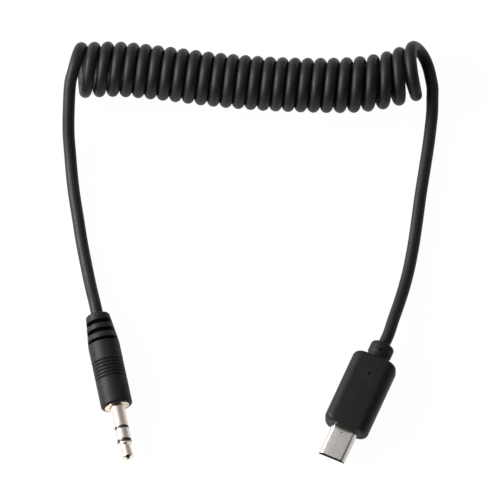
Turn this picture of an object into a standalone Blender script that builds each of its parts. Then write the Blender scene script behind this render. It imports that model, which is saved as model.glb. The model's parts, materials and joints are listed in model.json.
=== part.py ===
"""Coiled camera release cable: a 3.5 mm stereo jack plug and a flat camera plug joined by a curly cord.

Metres, +Z up, lying on the plane z = 0.  +X runs along the closed coil, from the jack's end of it to the
camera plug's end, and +Y runs from the plug tips towards the coil.  The origin is below the middle of the
two plugs.  Each plug is modelled along its own +X, towards its tip, with x = 0 in the front face of its
overmould, and is then laid on the plane by the empty that carries it.
"""

import math

import bmesh
import bpy
from mathutils import Vector

MM = 0.001

# Fits
MOULD_FIT = 0.05 * MM          # moulded and pressed pieces, each side
JOINT_FIT = 0.05 * MM          # between the coaxial pieces of the jack, along and across
CORD_GAP = 0.3 * MM            # between a cord's end face and what it meets
TURN_ALLOWANCE = 0.4 * MM      # what the coiled cord is drawn thinner by, so that its turns keep clear

# Cord
CORD_DIAMETER = 3.0 * MM
WIRE_DIAMETER = 0.6 * MM
WIRE_GAP = 0.1 * MM
WIRE_SPREAD = 0.725 * MM       # from the cord's middle to a side wire, where the wires leave it
WIRE_LEAD = 0.3 * MM           # straight run at a wire's end

# Jack plug
JACK_POSITION = (-30.34 * MM, -4.86 * MM)
JACK_HEADING = math.radians(-78.5)
JACK_BODY_LENGTH = 24.4 * MM
JACK_BODY_DIAMETER = 7.8 * MM
JACK_WALL = 1.0 * MM
JACK_REAR_DIAMETER = 6.0 * MM
JACK_TAPER_LENGTH = 7.9 * MM
JACK_REAR_FILLET = 0.7 * MM
JACK_FRONT_FILLET = 0.6 * MM
JACK_CAVITY_LENGTH = 15.8 * MM
JACK_MOULD_REAR_WALL = 1.2 * MM
SLOTS = (                      # each strain relief slot's start, from the rear end, and its width
    (2.05 * MM, 1.05 * MM),
    (4.45 * MM, 1.05 * MM),
    (6.95 * MM, 0.80 * MM),
)
SLOT_FLOOR_WALL = 0.4 * MM
SLOT_SPAN = math.radians(158)
SLOT_MIDDLE = math.radians(110)  # where a slot's middle stands round the plug, from its right side up
GROOVE_COUNT = 6
GROOVE_FIRST = 12.65 * MM
GROOVE_PITCH = 0.87 * MM
GROOVE_WIDTH = 0.42 * MM
GROOVE_FLANK = 0.12 * MM       # length of a groove's sloping side
GROOVE_DEPTH = 0.26 * MM
COLLAR_RIM = 0.85 * MM         # wall of the overmould round the collar
COLLAR_DEPTH = 1.2 * MM
COLLAR_PROUD = 0.1 * MM
SHAFT_DIAMETER = 3.5 * MM
SHAFT_LENGTH = 14.1 * MM
SLEEVE_LENGTH = 5.4 * MM
RING_START = 6.1 * MM
RING_LENGTH = 2.7 * MM
TIP_START = 9.6 * MM
TIP_COLLAR_LENGTH = 0.5 * MM
TIP_COLLAR_DIAMETER = 3.3 * MM
TIP_NECK_DIAMETER = 2.4 * MM
TIP_HEAD_DIAMETER = 2.95 * MM
TIP_SHOULDER_DIAMETER = 2.74 * MM
TIP_SHOULDER_LENGTH = 0.26 * MM
TIP_END_DIAMETER = 1.2 * MM
TIP_NOSE_LENGTH = 0.9 * MM
BARREL_DIAMETER = 4.4 * MM
BARREL_LENGTH = 3.3 * MM
BARREL_NECK_DIAMETER = 3.3 * MM
BARREL_NECK_LENGTH = 2.0 * MM
SHAFT_RELIEF_WIDTH = 0.3 * MM
SHAFT_RELIEF_DEPTH = 0.25 * MM
SLEEVE_WALL = 0.45 * MM
INSULATOR_WALL = 0.22 * MM
RING_TUBE_WALL = 0.25 * MM
RING_INSULATOR_BACK = 0.5 * MM  # how far each piece reaches out behind the one round it
RING_TUBE_BACK = 1.2 * MM
TIP_INSULATOR_BACK = 0.7 * MM
TIP_ROD_BACK = 1.2 * MM
LUG_THICKNESS = 0.4 * MM
LUG_SETBACK = 0.15 * MM
LUG_RIM = 0.55 * MM
LUG_WIDTH = 1.0 * MM
LUG_REACH = 2.0 * MM
CLAMP_THICKNESS = 0.3 * MM
CLAMP_STRAP_WIDTH = 1.5 * MM
CLAMP_BAND_LENGTH = 1.2 * MM
CLAMP_BAND_SETBACK = 0.4 * MM   # from the inner mould's rear wall
JACK_CORD_SHOWING = 2.0 * MM    # cord that shows in the inner mould, in front of its rear wall

# Camera plug
PLUG_POSITION = (25.35 * MM, -10.83 * MM)
PLUG_HEADING = math.radians(-113.5)
PLUG_LENGTH = 19.7 * MM
PLUG_WIDTH = 11.35 * MM
PLUG_THICKNESS = 7.8 * MM
PLUG_EDGE_RADIUS = 2.6 * MM
PLUG_CORNER_RADIUS = 1.5 * MM
PLUG_END_FILLET = 0.8 * MM
PLUG_WALL = 1.3 * MM
PLUG_FRONT_WALL = 1.6 * MM
PLUG_REAR_WALL = 2.4 * MM
NECK_LENGTH = 4.4 * MM
NECK_BULGE_DIAMETER = 6.0 * MM
NECK_WAIST_DIAMETER = 5.5 * MM
NECK_WAIST_LENGTH = 0.9 * MM
NECK_FILLET = 0.9 * MM
NECK_SHOULDER_ANGLE = 50       # degrees up from the axis, where the bulge's front curve meets the waist
PIT_DIAMETER = 0.75 * MM
PIT_DEPTH = 0.6 * MM
BODY_PIT_FROM_REAR = 5.2 * MM
NECK_PIT_FROM_BODY = 2.0 * MM
PIT_OFFSET = 0.3 * MM          # to the plug's side that faces away from the jack
SHELL_EXPOSED = 8.0 * MM
SHELL_BURIED = 6.0 * MM
SHELL_WIDTH = 6.85 * MM
SHELL_TOP_WIDTH = 5.15 * MM
SHELL_HEIGHT = 1.8 * MM
SHELL_SIDE_HEIGHT = 0.75 * MM
SHELL_WALL = 0.3 * MM
INSULATOR_BLOCK_LENGTH = 7.5 * MM
INSULATOR_BLOCK_WIDTH = 4.2 * MM
TONGUE_WIDTH = 3.5 * MM
TONGUE_THICKNESS = 0.35 * MM
TONGUE_SETBACK = 1.0 * MM      # from the shell's mouth
CONTACT_COUNT = 5
CONTACT_PITCH = 0.65 * MM
CONTACT_WIDTH = 0.35 * MM
CONTACT_THICKNESS = 0.15 * MM
CONTACT_TAIL = 1.5 * MM
CONTACT_SETBACK = 1.5 * MM
LATCH_WIDTH = 0.55 * MM
LATCH_THICKNESS = 0.22 * MM
LATCH_OFFSET = 2.47 * MM       # from the plug's middle to a latch's middle
LATCH_ROOT = -1.0 * MM         # the rear end of a latch, where it bends
LATCH_REACH = 6.9 * MM
HOOK_START = 5.2 * MM
HOOK_LENGTH = 1.1 * MM
HOOK_BACK_SLOPE = 0.1 * MM
HOOK_CREST = 0.2 * MM
HOOK_PROUD = 0.35 * MM
HOOK_FIT = 0.12 * MM
POCKET_LENGTH = 6.4 * MM
POCKET_WIDTH = 5.4 * MM
POCKET_HEIGHT = 3.4 * MM
PLUG_CORD_SHOWING = 0.6 * MM

# Coiled cord: the coil's middle line on the plane in millimetres, and its turns' shape, by turn number
POINTS_PER_TURN = 10
COIL_MIDDLE = (
    (-0.25, (-40.95, 82.15)),
    (0.0, (-39.85, 82.40)),
    (0.5, (-38.00, 82.53)),
    (3.0, (-29.75, 82.73)),
    (6.5, (-19.05, 81.68)),
    (10.5, (-6.65, 80.08)),
    (14.5, (5.55, 79.00)),
    (18.5, (17.90, 78.53)),
    (21.5, (27.70, 78.60)),
    (23.5, (34.60, 79.53)),
    (25.4, (41.45, 81.55)),
    (26.0, (43.60, 82.53)),
    (26.2, (45.00, 82.85)),
    (26.4, (46.00, 82.90)),
)
COIL_DIAMETER = (              # of the cord's middle line round a turn, in millimetres, by turn number
    (-0.25, 11.10),
    (0.5, 10.90),
    (3.5, 10.65),
    (7.0, 10.50),
    (17.0, 10.50),
    (20.0, 10.70),
    (22.5, 10.95),
    (24.5, 11.05),
    (25.5, 11.30),
    (26.4, 11.50),
)
COIL_LEAN = (                  # degrees from +Y towards +X
    (-0.25, 8.0),
    (0.5, 3.6),
    (3.0, 2.4),
    (8.5, 2.0),
    (14.5, 1.2),
    (19.5, 0.8),
    (22.5, -1.8),
    (24.5, -6.5),
    (25.4, -10.0),
    (26.0, -9.5),
    (26.4, 0.0),
)
COIL_TIP = (                   # degrees that a turn's top is tipped towards the jack's end
    (-0.25, 0.0),
    (23.5, 0.0),
    (24.2, 2.0),
    (24.8, 6.0),
    (25.8, 11.0),
    (26.4, 11.0),
)
TURN_START = 21.0              # degrees round a turn, from +Y up, where turn number 0 stands
COIL_FIRST_ANGLE = 110.0       # the jack's end leaves over the first turn's top
COIL_LAST_ANGLE = -90.0        # the camera plug's end leaves from the last turn's underside
WHOLE_TURNS = 26

# Tails: millimetres, (x, y, z) of the cord's middle, from the coil to the plug
JACK_TAIL_ROUTE = (
    (-42.33, 72.25, 8.70),
    (-42.40, 66.55, 5.25),
    (-42.00, 61.55, 2.95),
    (-41.56, 56.55, 1.80),
    (-40.98, 51.55, 1.55),
    (-40.10, 45.75, 1.55),
    (-39.17, 39.55, 1.55),
    (-38.20, 34.15, 1.65),
    (-37.45, 30.15, 2.05),
    (-36.68, 26.15, 2.80),
)
PLUG_TAIL_ROUTE = (
    (46.95, 78.65, 1.55),
    (47.05, 73.35, 1.55),
    (46.64, 69.15, 1.55),
    (46.14, 64.95, 1.55),
    (45.20, 58.55, 1.55),
    (44.15, 51.55, 1.55),
    (43.15, 43.85, 1.55),
    (42.33, 38.15, 1.55),
    (41.20, 31.95, 1.70),
    (39.96, 26.75, 2.15),
    (38.65, 22.15, 2.80),
    (37.31, 17.89, 3.45),
)
TAIL_POINT_SPACING = 2.4       # cord diameters between a tail's points

# Fineness
ROUND_STEPS = 36
INNER_STEPS = 24
SLOT_STEPS = 12
PIT_STEPS = 12
FILLET_STEPS = 4
CUT = 1.0 * MM                 # how far a cutter runs past what it cuts
SHARP = math.radians(35)
WHOLE_TURN = 2.0 * math.pi
MERGE = 1e-8

PLASTIC_BLACK = ((0.016, 0.016, 0.017), 0.55, 0.0)
CORD_BLACK = ((0.014, 0.014, 0.015), 0.40, 0.0)
INSULATOR_BLACK = ((0.02, 0.02, 0.022), 0.35, 0.0)
MOULD_NATURAL = ((0.62, 0.60, 0.54), 0.45, 0.0)
NICKEL = ((0.72, 0.67, 0.60), 0.22, 1.0)
STEEL = ((0.60, 0.58, 0.55), 0.28, 1.0)
CONTACT_GOLD = ((0.85, 0.62, 0.27), 0.25, 1.0)
WIRE_RED = ((0.45, 0.03, 0.03), 0.4, 0.0)
WIRE_WHITE = ((0.70, 0.70, 0.68), 0.4, 0.0)
WIRE_COPPER = ((0.80, 0.42, 0.25), 0.3, 1.0)


# ---------------------------------------------------------------- scene and finish

def clear_scene():
    for item in list(bpy.data.objects):
        bpy.data.objects.remove(item, do_unlink=True)


def finish(item, look):
    """Gives an object its own material and its smooth shading."""
    colour, roughness, metallic = look
    material = bpy.data.materials.new(item.name)
    material.use_nodes = True
    shader = material.node_tree.nodes["Principled BSDF"]
    shader.inputs["Base Color"].default_value = (*colour, 1.0)
    shader.inputs["Roughness"].default_value = roughness
    shader.inputs["Metallic"].default_value = metallic
    item.data.materials.append(material)
    if item.type == "MESH":
        item.data.shade_smooth()
        item.data.set_sharp_from_angle(angle=SHARP)
    return item


def carrier(name, position, height, heading):
    empty = bpy.data.objects.new(name, None)
    bpy.context.collection.objects.link(empty)
    empty.location = (*position, height)
    empty.rotation_euler = (0.0, 0.0, heading)
    return empty


def from_bmesh(name, bm, parent):
    bmesh.ops.recalc_face_normals(bm, faces=bm.faces)
    mesh = bpy.data.meshes.new(name)
    bm.to_mesh(mesh)
    bm.free()
    item = bpy.data.objects.new(name, mesh)
    bpy.context.collection.objects.link(item)
    item.parent = parent
    return item


def as_helper(item):
    item.hide_render = True
    item.display_type = "WIRE"
    return item


def boolean(item, helper, operation="DIFFERENCE"):
    modifier = item.modifiers.new(helper.name, "BOOLEAN")
    modifier.operation = operation
    modifier.solver = "EXACT"
    modifier.object = as_helper(helper)


# ---------------------------------------------------------------- shapes

def arc(centre, radius, start, stop, steps=FILLET_STEPS):
    """Points on a circle's arc, angles in degrees, both ends included."""
    points = []
    for step in range(steps + 1):
        angle = math.radians(start + (stop - start) * step / steps)
        points.append((centre[0] + radius * math.cos(angle), centre[1] + radius * math.sin(angle)))
    return points


def turned(name, profile, parent, steps=ROUND_STEPS, sweep=WHOLE_TURN, start=0.0):
    """Turns a closed profile of (x, radius) points about the X axis; a part sweep gives a closed sector."""
    bm = bmesh.new()
    verts = [bm.verts.new((x, radius * math.cos(start), radius * math.sin(start))) for x, radius in profile]
    whole = sweep == WHOLE_TURN
    if whole:
        edges = [bm.edges.new((verts[i], verts[(i + 1) % len(verts)])) for i in range(len(verts))
                 if profile[i][1] > 0.0 or profile[(i + 1) % len(verts)][1] > 0.0]
        geometry = verts + edges
    else:
        face = bm.faces.new(verts)
        geometry = [face] + list(face.edges) + list(face.verts)
    bmesh.ops.spin(bm, geom=geometry, cent=(0, 0, 0), axis=(1, 0, 0), dvec=(0, 0, 0),
                   angle=sweep, steps=steps, use_merge=whole, use_duplicate=False)
    bmesh.ops.remove_doubles(bm, verts=bm.verts, dist=MERGE)
    return from_bmesh(name, bm, parent)


def block(name, low, high, parent):
    """A plain box between two corners."""
    bm = bmesh.new()
    bmesh.ops.create_cube(bm, size=1.0)
    for vert in bm.verts:
        vert.co = Vector([low[i] if vert.co[i] < 0 else high[i] for i in range(3)])
    return from_bmesh(name, bm, parent)


def extruded(name, outline, near, far, parent):
    """A closed (y, z) outline extruded from x = near to x = far."""
    bm = bmesh.new()
    face = bm.faces.new([bm.verts.new((near, y, z)) for y, z in outline])
    moved = bmesh.ops.extrude_face_region(bm, geom=[face])["geom"]
    new_verts = [element for element in moved if isinstance(element, bmesh.types.BMVert)]
    bmesh.ops.translate(bm, vec=(far - near, 0, 0), verts=new_verts)
    return from_bmesh(name, bm, parent)


def rounded_outline(half_width, half_height, radius):
    points = []
    for sign_y, sign_z, start in ((1, 1, 0), (-1, 1, 90), (-1, -1, 180), (1, -1, 270)):
        centre = (sign_y * (half_width - radius), sign_z * (half_height - radius))
        points += arc(centre, radius, start, start + 90)
    return points


def lofted(name, stations, parent):
    """A closed body through rounded outlines; a station is (x, half width, half height, corner radius)."""
    bm = bmesh.new()
    rings = []
    for x, half_width, half_height, radius in stations:
        rings.append([bm.verts.new((x, y, z)) for y, z in rounded_outline(half_width, half_height, radius)])
    for near, far in zip(rings, rings[1:]):
        for i in range(len(near)):
            j = (i + 1) % len(near)
            bm.faces.new((near[i], near[j], far[j], far[i]))
    bm.faces.new(rings[0])
    bm.faces.new(rings[-1])
    return from_bmesh(name, bm, parent)


def tube(name, points, diameter, sides_level, look, parent=None):
    """A round cord along points, with closed ends."""
    curve = bpy.data.curves.new(name, "CURVE")
    curve.dimensions = "3D"
    curve.bevel_depth = diameter / 2
    curve.bevel_resolution = sides_level
    curve.use_fill_caps = True
    spline = curve.splines.new("POLY")
    spline.points.add(len(points) - 1)
    for point, place in zip(spline.points, points):
        point.co = (*place, 1.0)
    item = bpy.data.objects.new(name, curve)
    bpy.context.collection.objects.link(item)
    item.parent = parent
    return finish(item, look)


def smooth_value(knots, at):
    """A smooth curve's value at a parameter, through (parameter, vector) knots, by cubic Hermite pieces."""
    last = len(knots) - 1
    index = 0
    while index < last - 1 and at > knots[index + 1][0]:
        index += 1
    slopes = []
    for i in (index, index + 1):
        before = knots[max(i - 1, 0)]
        after = knots[min(i + 1, last)]
        slopes.append((after[1] - before[1]) / (after[0] - before[0]))
    (start, first), (stop, second) = knots[index], knots[index + 1]
    span = stop - start
    t = (at - start) / span
    return (first * (2 * t ** 3 - 3 * t ** 2 + 1) + second * (3 * t ** 2 - 2 * t ** 3)
            + slopes[0] * span * (t ** 3 - 2 * t ** 2 + t) + slopes[1] * span * (t ** 3 - t ** 2))


def smooth_route(points, spacing):
    """Evenly spaced points on the smooth curve through a route's points."""
    knots = [(0.0, points[0])]
    for point in points[1:]:
        knots.append((knots[-1][0] + (point - knots[-1][1]).length, point))
    total = knots[-1][0]
    count = max(2, round(total / spacing))
    return [smooth_value(knots, total * step / count) for step in range(count + 1)]


# ---------------------------------------------------------------- jack plug

JACK_CAVITY_DIAMETER = JACK_BODY_DIAMETER - 2 * JACK_WALL
COLLAR_DIAMETER = JACK_BODY_DIAMETER - 2 * COLLAR_RIM
SLEEVE_BORE = SHAFT_DIAMETER / 2 - SLEEVE_WALL
RING_INSULATOR_OUT = SLEEVE_BORE - JOINT_FIT
RING_INSULATOR_IN = RING_INSULATOR_OUT - INSULATOR_WALL
RING_TUBE_OUT = RING_INSULATOR_IN - JOINT_FIT
RING_TUBE_IN = RING_TUBE_OUT - RING_TUBE_WALL
TIP_INSULATOR_OUT = RING_TUBE_IN - JOINT_FIT
TIP_INSULATOR_IN = TIP_INSULATOR_OUT - INSULATOR_WALL
TIP_ROD = TIP_INSULATOR_IN - JOINT_FIT

BARREL_REAR = -COLLAR_DEPTH - BARREL_LENGTH
SLEEVE_REAR = BARREL_REAR - BARREL_NECK_LENGTH
RING_INSULATOR_REAR = SLEEVE_REAR - RING_INSULATOR_BACK
RING_REAR = RING_INSULATOR_REAR - RING_TUBE_BACK
TIP_INSULATOR_REAR = RING_REAR - TIP_INSULATOR_BACK
TIP_REAR = TIP_INSULATOR_REAR - TIP_ROD_BACK

CORD_BORE = CORD_DIAMETER / 2 + MOULD_FIT
JACK_MOULD_REAR = -JACK_CAVITY_LENGTH + MOULD_FIT
JACK_MOULD_FLOOR = JACK_MOULD_REAR + JACK_MOULD_REAR_WALL
JACK_CORD_FRONT = JACK_MOULD_FLOOR + JACK_CORD_SHOWING


def jack_overmould(parent):
    radius = JACK_BODY_DIAMETER / 2
    rear = -JACK_BODY_LENGTH
    rear_radius = JACK_REAR_DIAMETER / 2
    profile = [(rear, CORD_BORE)]
    profile += arc((rear + JACK_REAR_FILLET, rear_radius - JACK_REAR_FILLET), JACK_REAR_FILLET, 180, 100)
    profile.append((rear + JACK_TAPER_LENGTH, radius))
    for index in range(GROOVE_COUNT):
        start = rear + GROOVE_FIRST + index * GROOVE_PITCH
        stop = start + GROOVE_WIDTH
        profile += [(start, radius), (start + GROOVE_FLANK, radius - GROOVE_DEPTH),
                    (stop - GROOVE_FLANK, radius - GROOVE_DEPTH), (stop, radius)]
    profile += arc((-JACK_FRONT_FILLET, radius - JACK_FRONT_FILLET), JACK_FRONT_FILLET, 90, 0)
    seat = -COLLAR_DEPTH - JOINT_FIT
    profile += [(0.0, COLLAR_DIAMETER / 2 + MOULD_FIT), (seat, COLLAR_DIAMETER / 2 + MOULD_FIT),
                (seat, JACK_CAVITY_DIAMETER / 2), (-JACK_CAVITY_LENGTH, JACK_CAVITY_DIAMETER / 2),
                (-JACK_CAVITY_LENGTH, CORD_BORE)]
    body = turned("jack_overmould", profile, parent)
    for number, (start_from_rear, width) in enumerate(SLOTS, start=1):
        near = rear + start_from_rear
        far = near + width
        floor = CORD_BORE + SLOT_FLOOR_WALL
        outside = radius + CUT
        for side in range(2):
            start = SLOT_MIDDLE - SLOT_SPAN / 2 + side * math.pi
            section = [(near, floor), (far, floor), (far, outside), (near, outside)]
            name = f"jack_slot_cutter_{number}_{side + 1}"
            boolean(body, turned(name, section, parent, steps=SLOT_STEPS, sweep=SLOT_SPAN, start=start))
    return finish(body, PLASTIC_BLACK)


def jack_inner_mould(parent):
    outside = JACK_CAVITY_DIAMETER / 2 - MOULD_FIT
    inside = BARREL_DIAMETER / 2 + MOULD_FIT
    front = -COLLAR_DEPTH - MOULD_FIT
    profile = [(JACK_MOULD_REAR, CORD_BORE), (JACK_MOULD_REAR, outside), (front, outside), (front, inside),
               (JACK_MOULD_FLOOR, inside), (JACK_MOULD_FLOOR, CORD_BORE)]
    return finish(turned("jack_inner_mould", profile, parent, steps=INNER_STEPS), MOULD_NATURAL)


def jack_sleeve(parent):
    face = COLLAR_PROUD
    shaft = SHAFT_DIAMETER / 2
    end = face + SLEEVE_LENGTH
    profile = [
        (SLEEVE_REAR, SLEEVE_BORE), (SLEEVE_REAR, BARREL_NECK_DIAMETER / 2),
        (BARREL_REAR, BARREL_NECK_DIAMETER / 2), (BARREL_REAR, BARREL_DIAMETER / 2),
        (-COLLAR_DEPTH, BARREL_DIAMETER / 2), (-COLLAR_DEPTH, COLLAR_DIAMETER / 2),
        (face, COLLAR_DIAMETER / 2), (face, shaft + SHAFT_RELIEF_WIDTH),
        (face - SHAFT_RELIEF_DEPTH, shaft + SHAFT_RELIEF_WIDTH), (face - SHAFT_RELIEF_DEPTH, shaft),
        (end, shaft), (end, SLEEVE_BORE),
    ]
    return finish(turned("jack_sleeve", profile, parent), NICKEL)


def jack_ring_insulator(parent):
    shaft = SHAFT_DIAMETER / 2
    start = COLLAR_PROUD + SLEEVE_LENGTH + JOINT_FIT
    end = COLLAR_PROUD + RING_START - JOINT_FIT
    profile = [(RING_INSULATOR_REAR, RING_INSULATOR_IN), (RING_INSULATOR_REAR, RING_INSULATOR_OUT),
               (start, RING_INSULATOR_OUT), (start, shaft), (end, shaft), (end, RING_INSULATOR_IN)]
    return finish(turned("jack_ring_insulator", profile, parent), INSULATOR_BLACK)


def jack_ring(parent):
    shaft = SHAFT_DIAMETER / 2
    start = COLLAR_PROUD + RING_START
    end = start + RING_LENGTH
    profile = [(RING_REAR, RING_TUBE_IN), (RING_REAR, RING_TUBE_OUT), (start, RING_TUBE_OUT), (start, shaft),
               (end, shaft), (end, RING_TUBE_IN)]
    return finish(turned("jack_ring", profile, parent), NICKEL)


def jack_tip_insulator(parent):
    shaft = SHAFT_DIAMETER / 2
    start = COLLAR_PROUD + RING_START + RING_LENGTH + JOINT_FIT
    end = COLLAR_PROUD + TIP_START - JOINT_FIT
    profile = [(TIP_INSULATOR_REAR, TIP_INSULATOR_IN), (TIP_INSULATOR_REAR, TIP_INSULATOR_OUT),
               (start, TIP_INSULATOR_OUT), (start, shaft), (end, shaft), (end, TIP_INSULATOR_IN)]
    return finish(turned("jack_tip_insulator", profile, parent), INSULATOR_BLACK)


def jack_tip(parent):
    start = COLLAR_PROUD + TIP_START
    neck = start + TIP_COLLAR_LENGTH
    end = COLLAR_PROUD + SHAFT_LENGTH
    nose = end - TIP_NOSE_LENGTH
    head = TIP_HEAD_DIAMETER / 2
    slope = (TIP_COLLAR_DIAMETER - TIP_NECK_DIAMETER) / 4
    profile = [
        (TIP_REAR, 0.0), (TIP_REAR, TIP_ROD), (start, TIP_ROD), (start, TIP_COLLAR_DIAMETER / 2),
        (neck, TIP_COLLAR_DIAMETER / 2), (neck + slope, TIP_NECK_DIAMETER / 2), (nose, head),
        (nose + TIP_SHOULDER_LENGTH, TIP_SHOULDER_DIAMETER / 2), (end, TIP_END_DIAMETER / 2), (end, 0.0),
    ]
    return finish(turned("jack_tip", profile, parent), NICKEL)


def solder_lug(name, tube_radius, tube_rear, side, parent):
    """A washer on a tube's rear end, with a tab to one side for its wire."""
    hole = tube_radius + JOINT_FIT
    rim = hole + LUG_RIM
    near = tube_rear + LUG_SETBACK
    far = near + LUG_THICKNESS
    lug = turned(name, [(near, hole), (near, rim), (far, rim), (far, hole)], parent, steps=INNER_STEPS)
    inner = hole + LUG_RIM / 2
    low_y, high_y = sorted((side * inner, side * LUG_REACH))
    tab = block(name + "_tab", (near, low_y, -LUG_WIDTH / 2), (far, high_y, LUG_WIDTH / 2), parent)
    boolean(lug, tab, "UNION")
    return finish(lug, STEEL)


def jack_cable_clamp(parent):
    """A ring on the sleeve's neck, a strap running back from it and a band crimped round the cord."""
    hole = BARREL_NECK_DIAMETER / 2 + JOINT_FIT
    rim = hole + CLAMP_THICKNESS
    near = SLEEVE_REAR + LUG_SETBACK
    far = near + LUG_THICKNESS
    clamp = turned("jack_cable_clamp", [(near, hole), (near, rim), (far, rim), (far, hole)], parent,
                   steps=INNER_STEPS)
    band_near = JACK_MOULD_FLOOR + CLAMP_BAND_SETBACK
    band_far = band_near + CLAMP_BAND_LENGTH
    band_rim = CORD_BORE + CLAMP_THICKNESS
    band = turned("jack_clamp_band", [(band_near, CORD_BORE), (band_near, band_rim), (band_far, band_rim),
                                      (band_far, CORD_BORE)], parent, steps=INNER_STEPS)
    strap = block("jack_clamp_strap", ((band_near + band_far) / 2, -CLAMP_STRAP_WIDTH / 2, -rim),
                  ((near + far) / 2, CLAMP_STRAP_WIDTH / 2, -hole), parent)
    boolean(clamp, strap, "UNION")
    boolean(clamp, band, "UNION")
    return finish(clamp, STEEL)


def cord_end(name, rear, front, parent):
    profile = [(rear, 0.0), (rear, CORD_DIAMETER / 2), (front, CORD_DIAMETER / 2), (front, 0.0)]
    return finish(turned(name, profile, parent, steps=INNER_STEPS), CORD_BLACK)


def jack_wires(parent):
    """Three wires from the cord's end: to the tip's lug, to the ring's lug and to the clamp's strap."""
    start = JACK_CORD_FRONT + WIRE_GAP
    clear = WIRE_DIAMETER / 2 + WIRE_GAP
    tab = LUG_REACH - WIRE_DIAMETER
    tip_lug = TIP_REAR + LUG_SETBACK - WIRE_GAP
    ring_lug = RING_REAR + LUG_SETBACK - WIRE_GAP
    strap_top = -(BARREL_NECK_DIAMETER / 2 + JOINT_FIT) + clear
    lead = start + WIRE_LEAD
    ground_end = tip_lug - WIRE_GAP
    routes = {
        "jack_wire_tip": (WIRE_RED, [(start, -WIRE_SPREAD, 0), (lead, -WIRE_SPREAD, 0),
                                     (tip_lug - WIRE_LEAD, -tab, 0), (tip_lug, -tab, 0)]),
        "jack_wire_ring": (WIRE_WHITE, [(start, WIRE_SPREAD, 0), (lead, WIRE_SPREAD, 0),
                                        (tip_lug, tab, 0), (ring_lug, tab, 0)]),
        "jack_wire_ground": (WIRE_COPPER, [(start, 0, -WIRE_SPREAD), (lead, 0, -WIRE_SPREAD),
                                           (ground_end - WIRE_LEAD, 0, strap_top),
                                           (ground_end, 0, strap_top)]),
    }
    for name, (look, points) in routes.items():
        tube(name, points, WIRE_DIAMETER, 1, look, parent)


def make_jack():
    axis = carrier("jack_axis", JACK_POSITION, JACK_BODY_DIAMETER / 2, JACK_HEADING)
    jack_overmould(axis)
    jack_inner_mould(axis)
    jack_sleeve(axis)
    jack_ring_insulator(axis)
    jack_ring(axis)
    jack_tip_insulator(axis)
    jack_tip(axis)
    solder_lug("jack_ring_lug", RING_TUBE_OUT, RING_REAR, 1, axis)
    solder_lug("jack_tip_lug", TIP_ROD, TIP_REAR, -1, axis)
    jack_cable_clamp(axis)
    cord_end("jack_cord_end", -JACK_BODY_LENGTH, JACK_CORD_FRONT, axis)
    jack_wires(axis)
    return axis


# ---------------------------------------------------------------- camera plug

SHELL_REAR = -SHELL_BURIED
SHELL_FLOOR = -SHELL_HEIGHT / 2 + SHELL_WALL
PLUG_CAVITY_REAR = -PLUG_LENGTH + PLUG_REAR_WALL
POCKET_FRONT = SHELL_REAR - MOULD_FIT
POCKET_REAR = POCKET_FRONT - POCKET_LENGTH
PLUG_REAR = -PLUG_LENGTH - NECK_LENGTH
PLUG_CORD_FRONT = POCKET_REAR + PLUG_CORD_SHOWING
CONTACT_LOW = SHELL_FLOOR + MOULD_FIT + LATCH_THICKNESS + HOOK_PROUD
TONGUE_TOP = SHELL_HEIGHT / 2 - SHELL_WALL - MOULD_FIT


def shell_outline(grow=0.0, corner=0.0):
    """The shell's section: square lower sides, sloping upper ones.  Growing moves every side outwards."""
    slope_in = (SHELL_WIDTH - SHELL_TOP_WIDTH) / 2
    slope_up = SHELL_HEIGHT - SHELL_SIDE_HEIGHT
    length = math.hypot(slope_in, slope_up)
    normal_y, normal_z = slope_up / length, slope_in / length
    half = SHELL_WIDTH / 2 + grow
    low = -SHELL_HEIGHT / 2 - grow
    side = -SHELL_HEIGHT / 2 + SHELL_SIDE_HEIGHT + grow * (1 - normal_y) / normal_z
    top_half = SHELL_TOP_WIDTH / 2 + grow * (1 - normal_z) / normal_y
    top = SHELL_HEIGHT / 2 + grow
    corners = [(half, low), (half, side), (top_half, top), (-top_half, top), (-half, side), (-half, low)]
    return rounded_corners(corners, corner) if corner else corners


def rounded_corners(corners, reach):
    """Each corner of an outline becomes a short curve that starts and ends this far from it."""
    points = []
    for index, corner in enumerate(corners):
        here = Vector(corner)
        before = Vector(corners[index - 1]) - here
        after = Vector(corners[(index + 1) % len(corners)]) - here
        start = here + before.normalized() * reach
        stop = here + after.normalized() * reach
        for step in range(FILLET_STEPS):
            t = step / (FILLET_STEPS - 1)
            points.append(tuple(start * (1 - t) ** 2 + here * 2 * t * (1 - t) + stop * t ** 2))
    return points


def end_stations(end, inward):
    """Stations of the overmould's rounded end, from its flat face inwards."""
    stations = []
    for step in range(FILLET_STEPS + 1):
        angle = math.radians(90 * step / FILLET_STEPS)
        along = PLUG_CORNER_RADIUS * (1 - math.cos(angle))
        inset = 1 - math.sin(angle)
        drop = PLUG_END_FILLET * inset
        stations.append((end + inward * along, PLUG_WIDTH / 2 - PLUG_CORNER_RADIUS * inset,
                         PLUG_THICKNESS / 2 - drop, PLUG_EDGE_RADIUS - drop))
    return stations


def plug_neck(parent):
    bulge = NECK_BULGE_DIAMETER / 2
    waist = NECK_WAIST_DIAMETER / 2
    waist_rear = -PLUG_LENGTH - NECK_WAIST_LENGTH
    profile = [(PLUG_REAR, 0.0)]
    profile += arc((PLUG_REAR + NECK_FILLET, bulge - NECK_FILLET), NECK_FILLET, 180, 90)
    profile += arc((waist_rear - NECK_FILLET, bulge - NECK_FILLET), NECK_FILLET, 90, NECK_SHOULDER_ANGLE)
    profile += [(waist_rear + NECK_WAIST_LENGTH / 2, waist), (-PLUG_LENGTH + PLUG_REAR_WALL / 2, waist),
                (-PLUG_LENGTH + PLUG_REAR_WALL / 2, 0.0)]
    return turned("camera_plug_neck", profile, parent)


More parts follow.
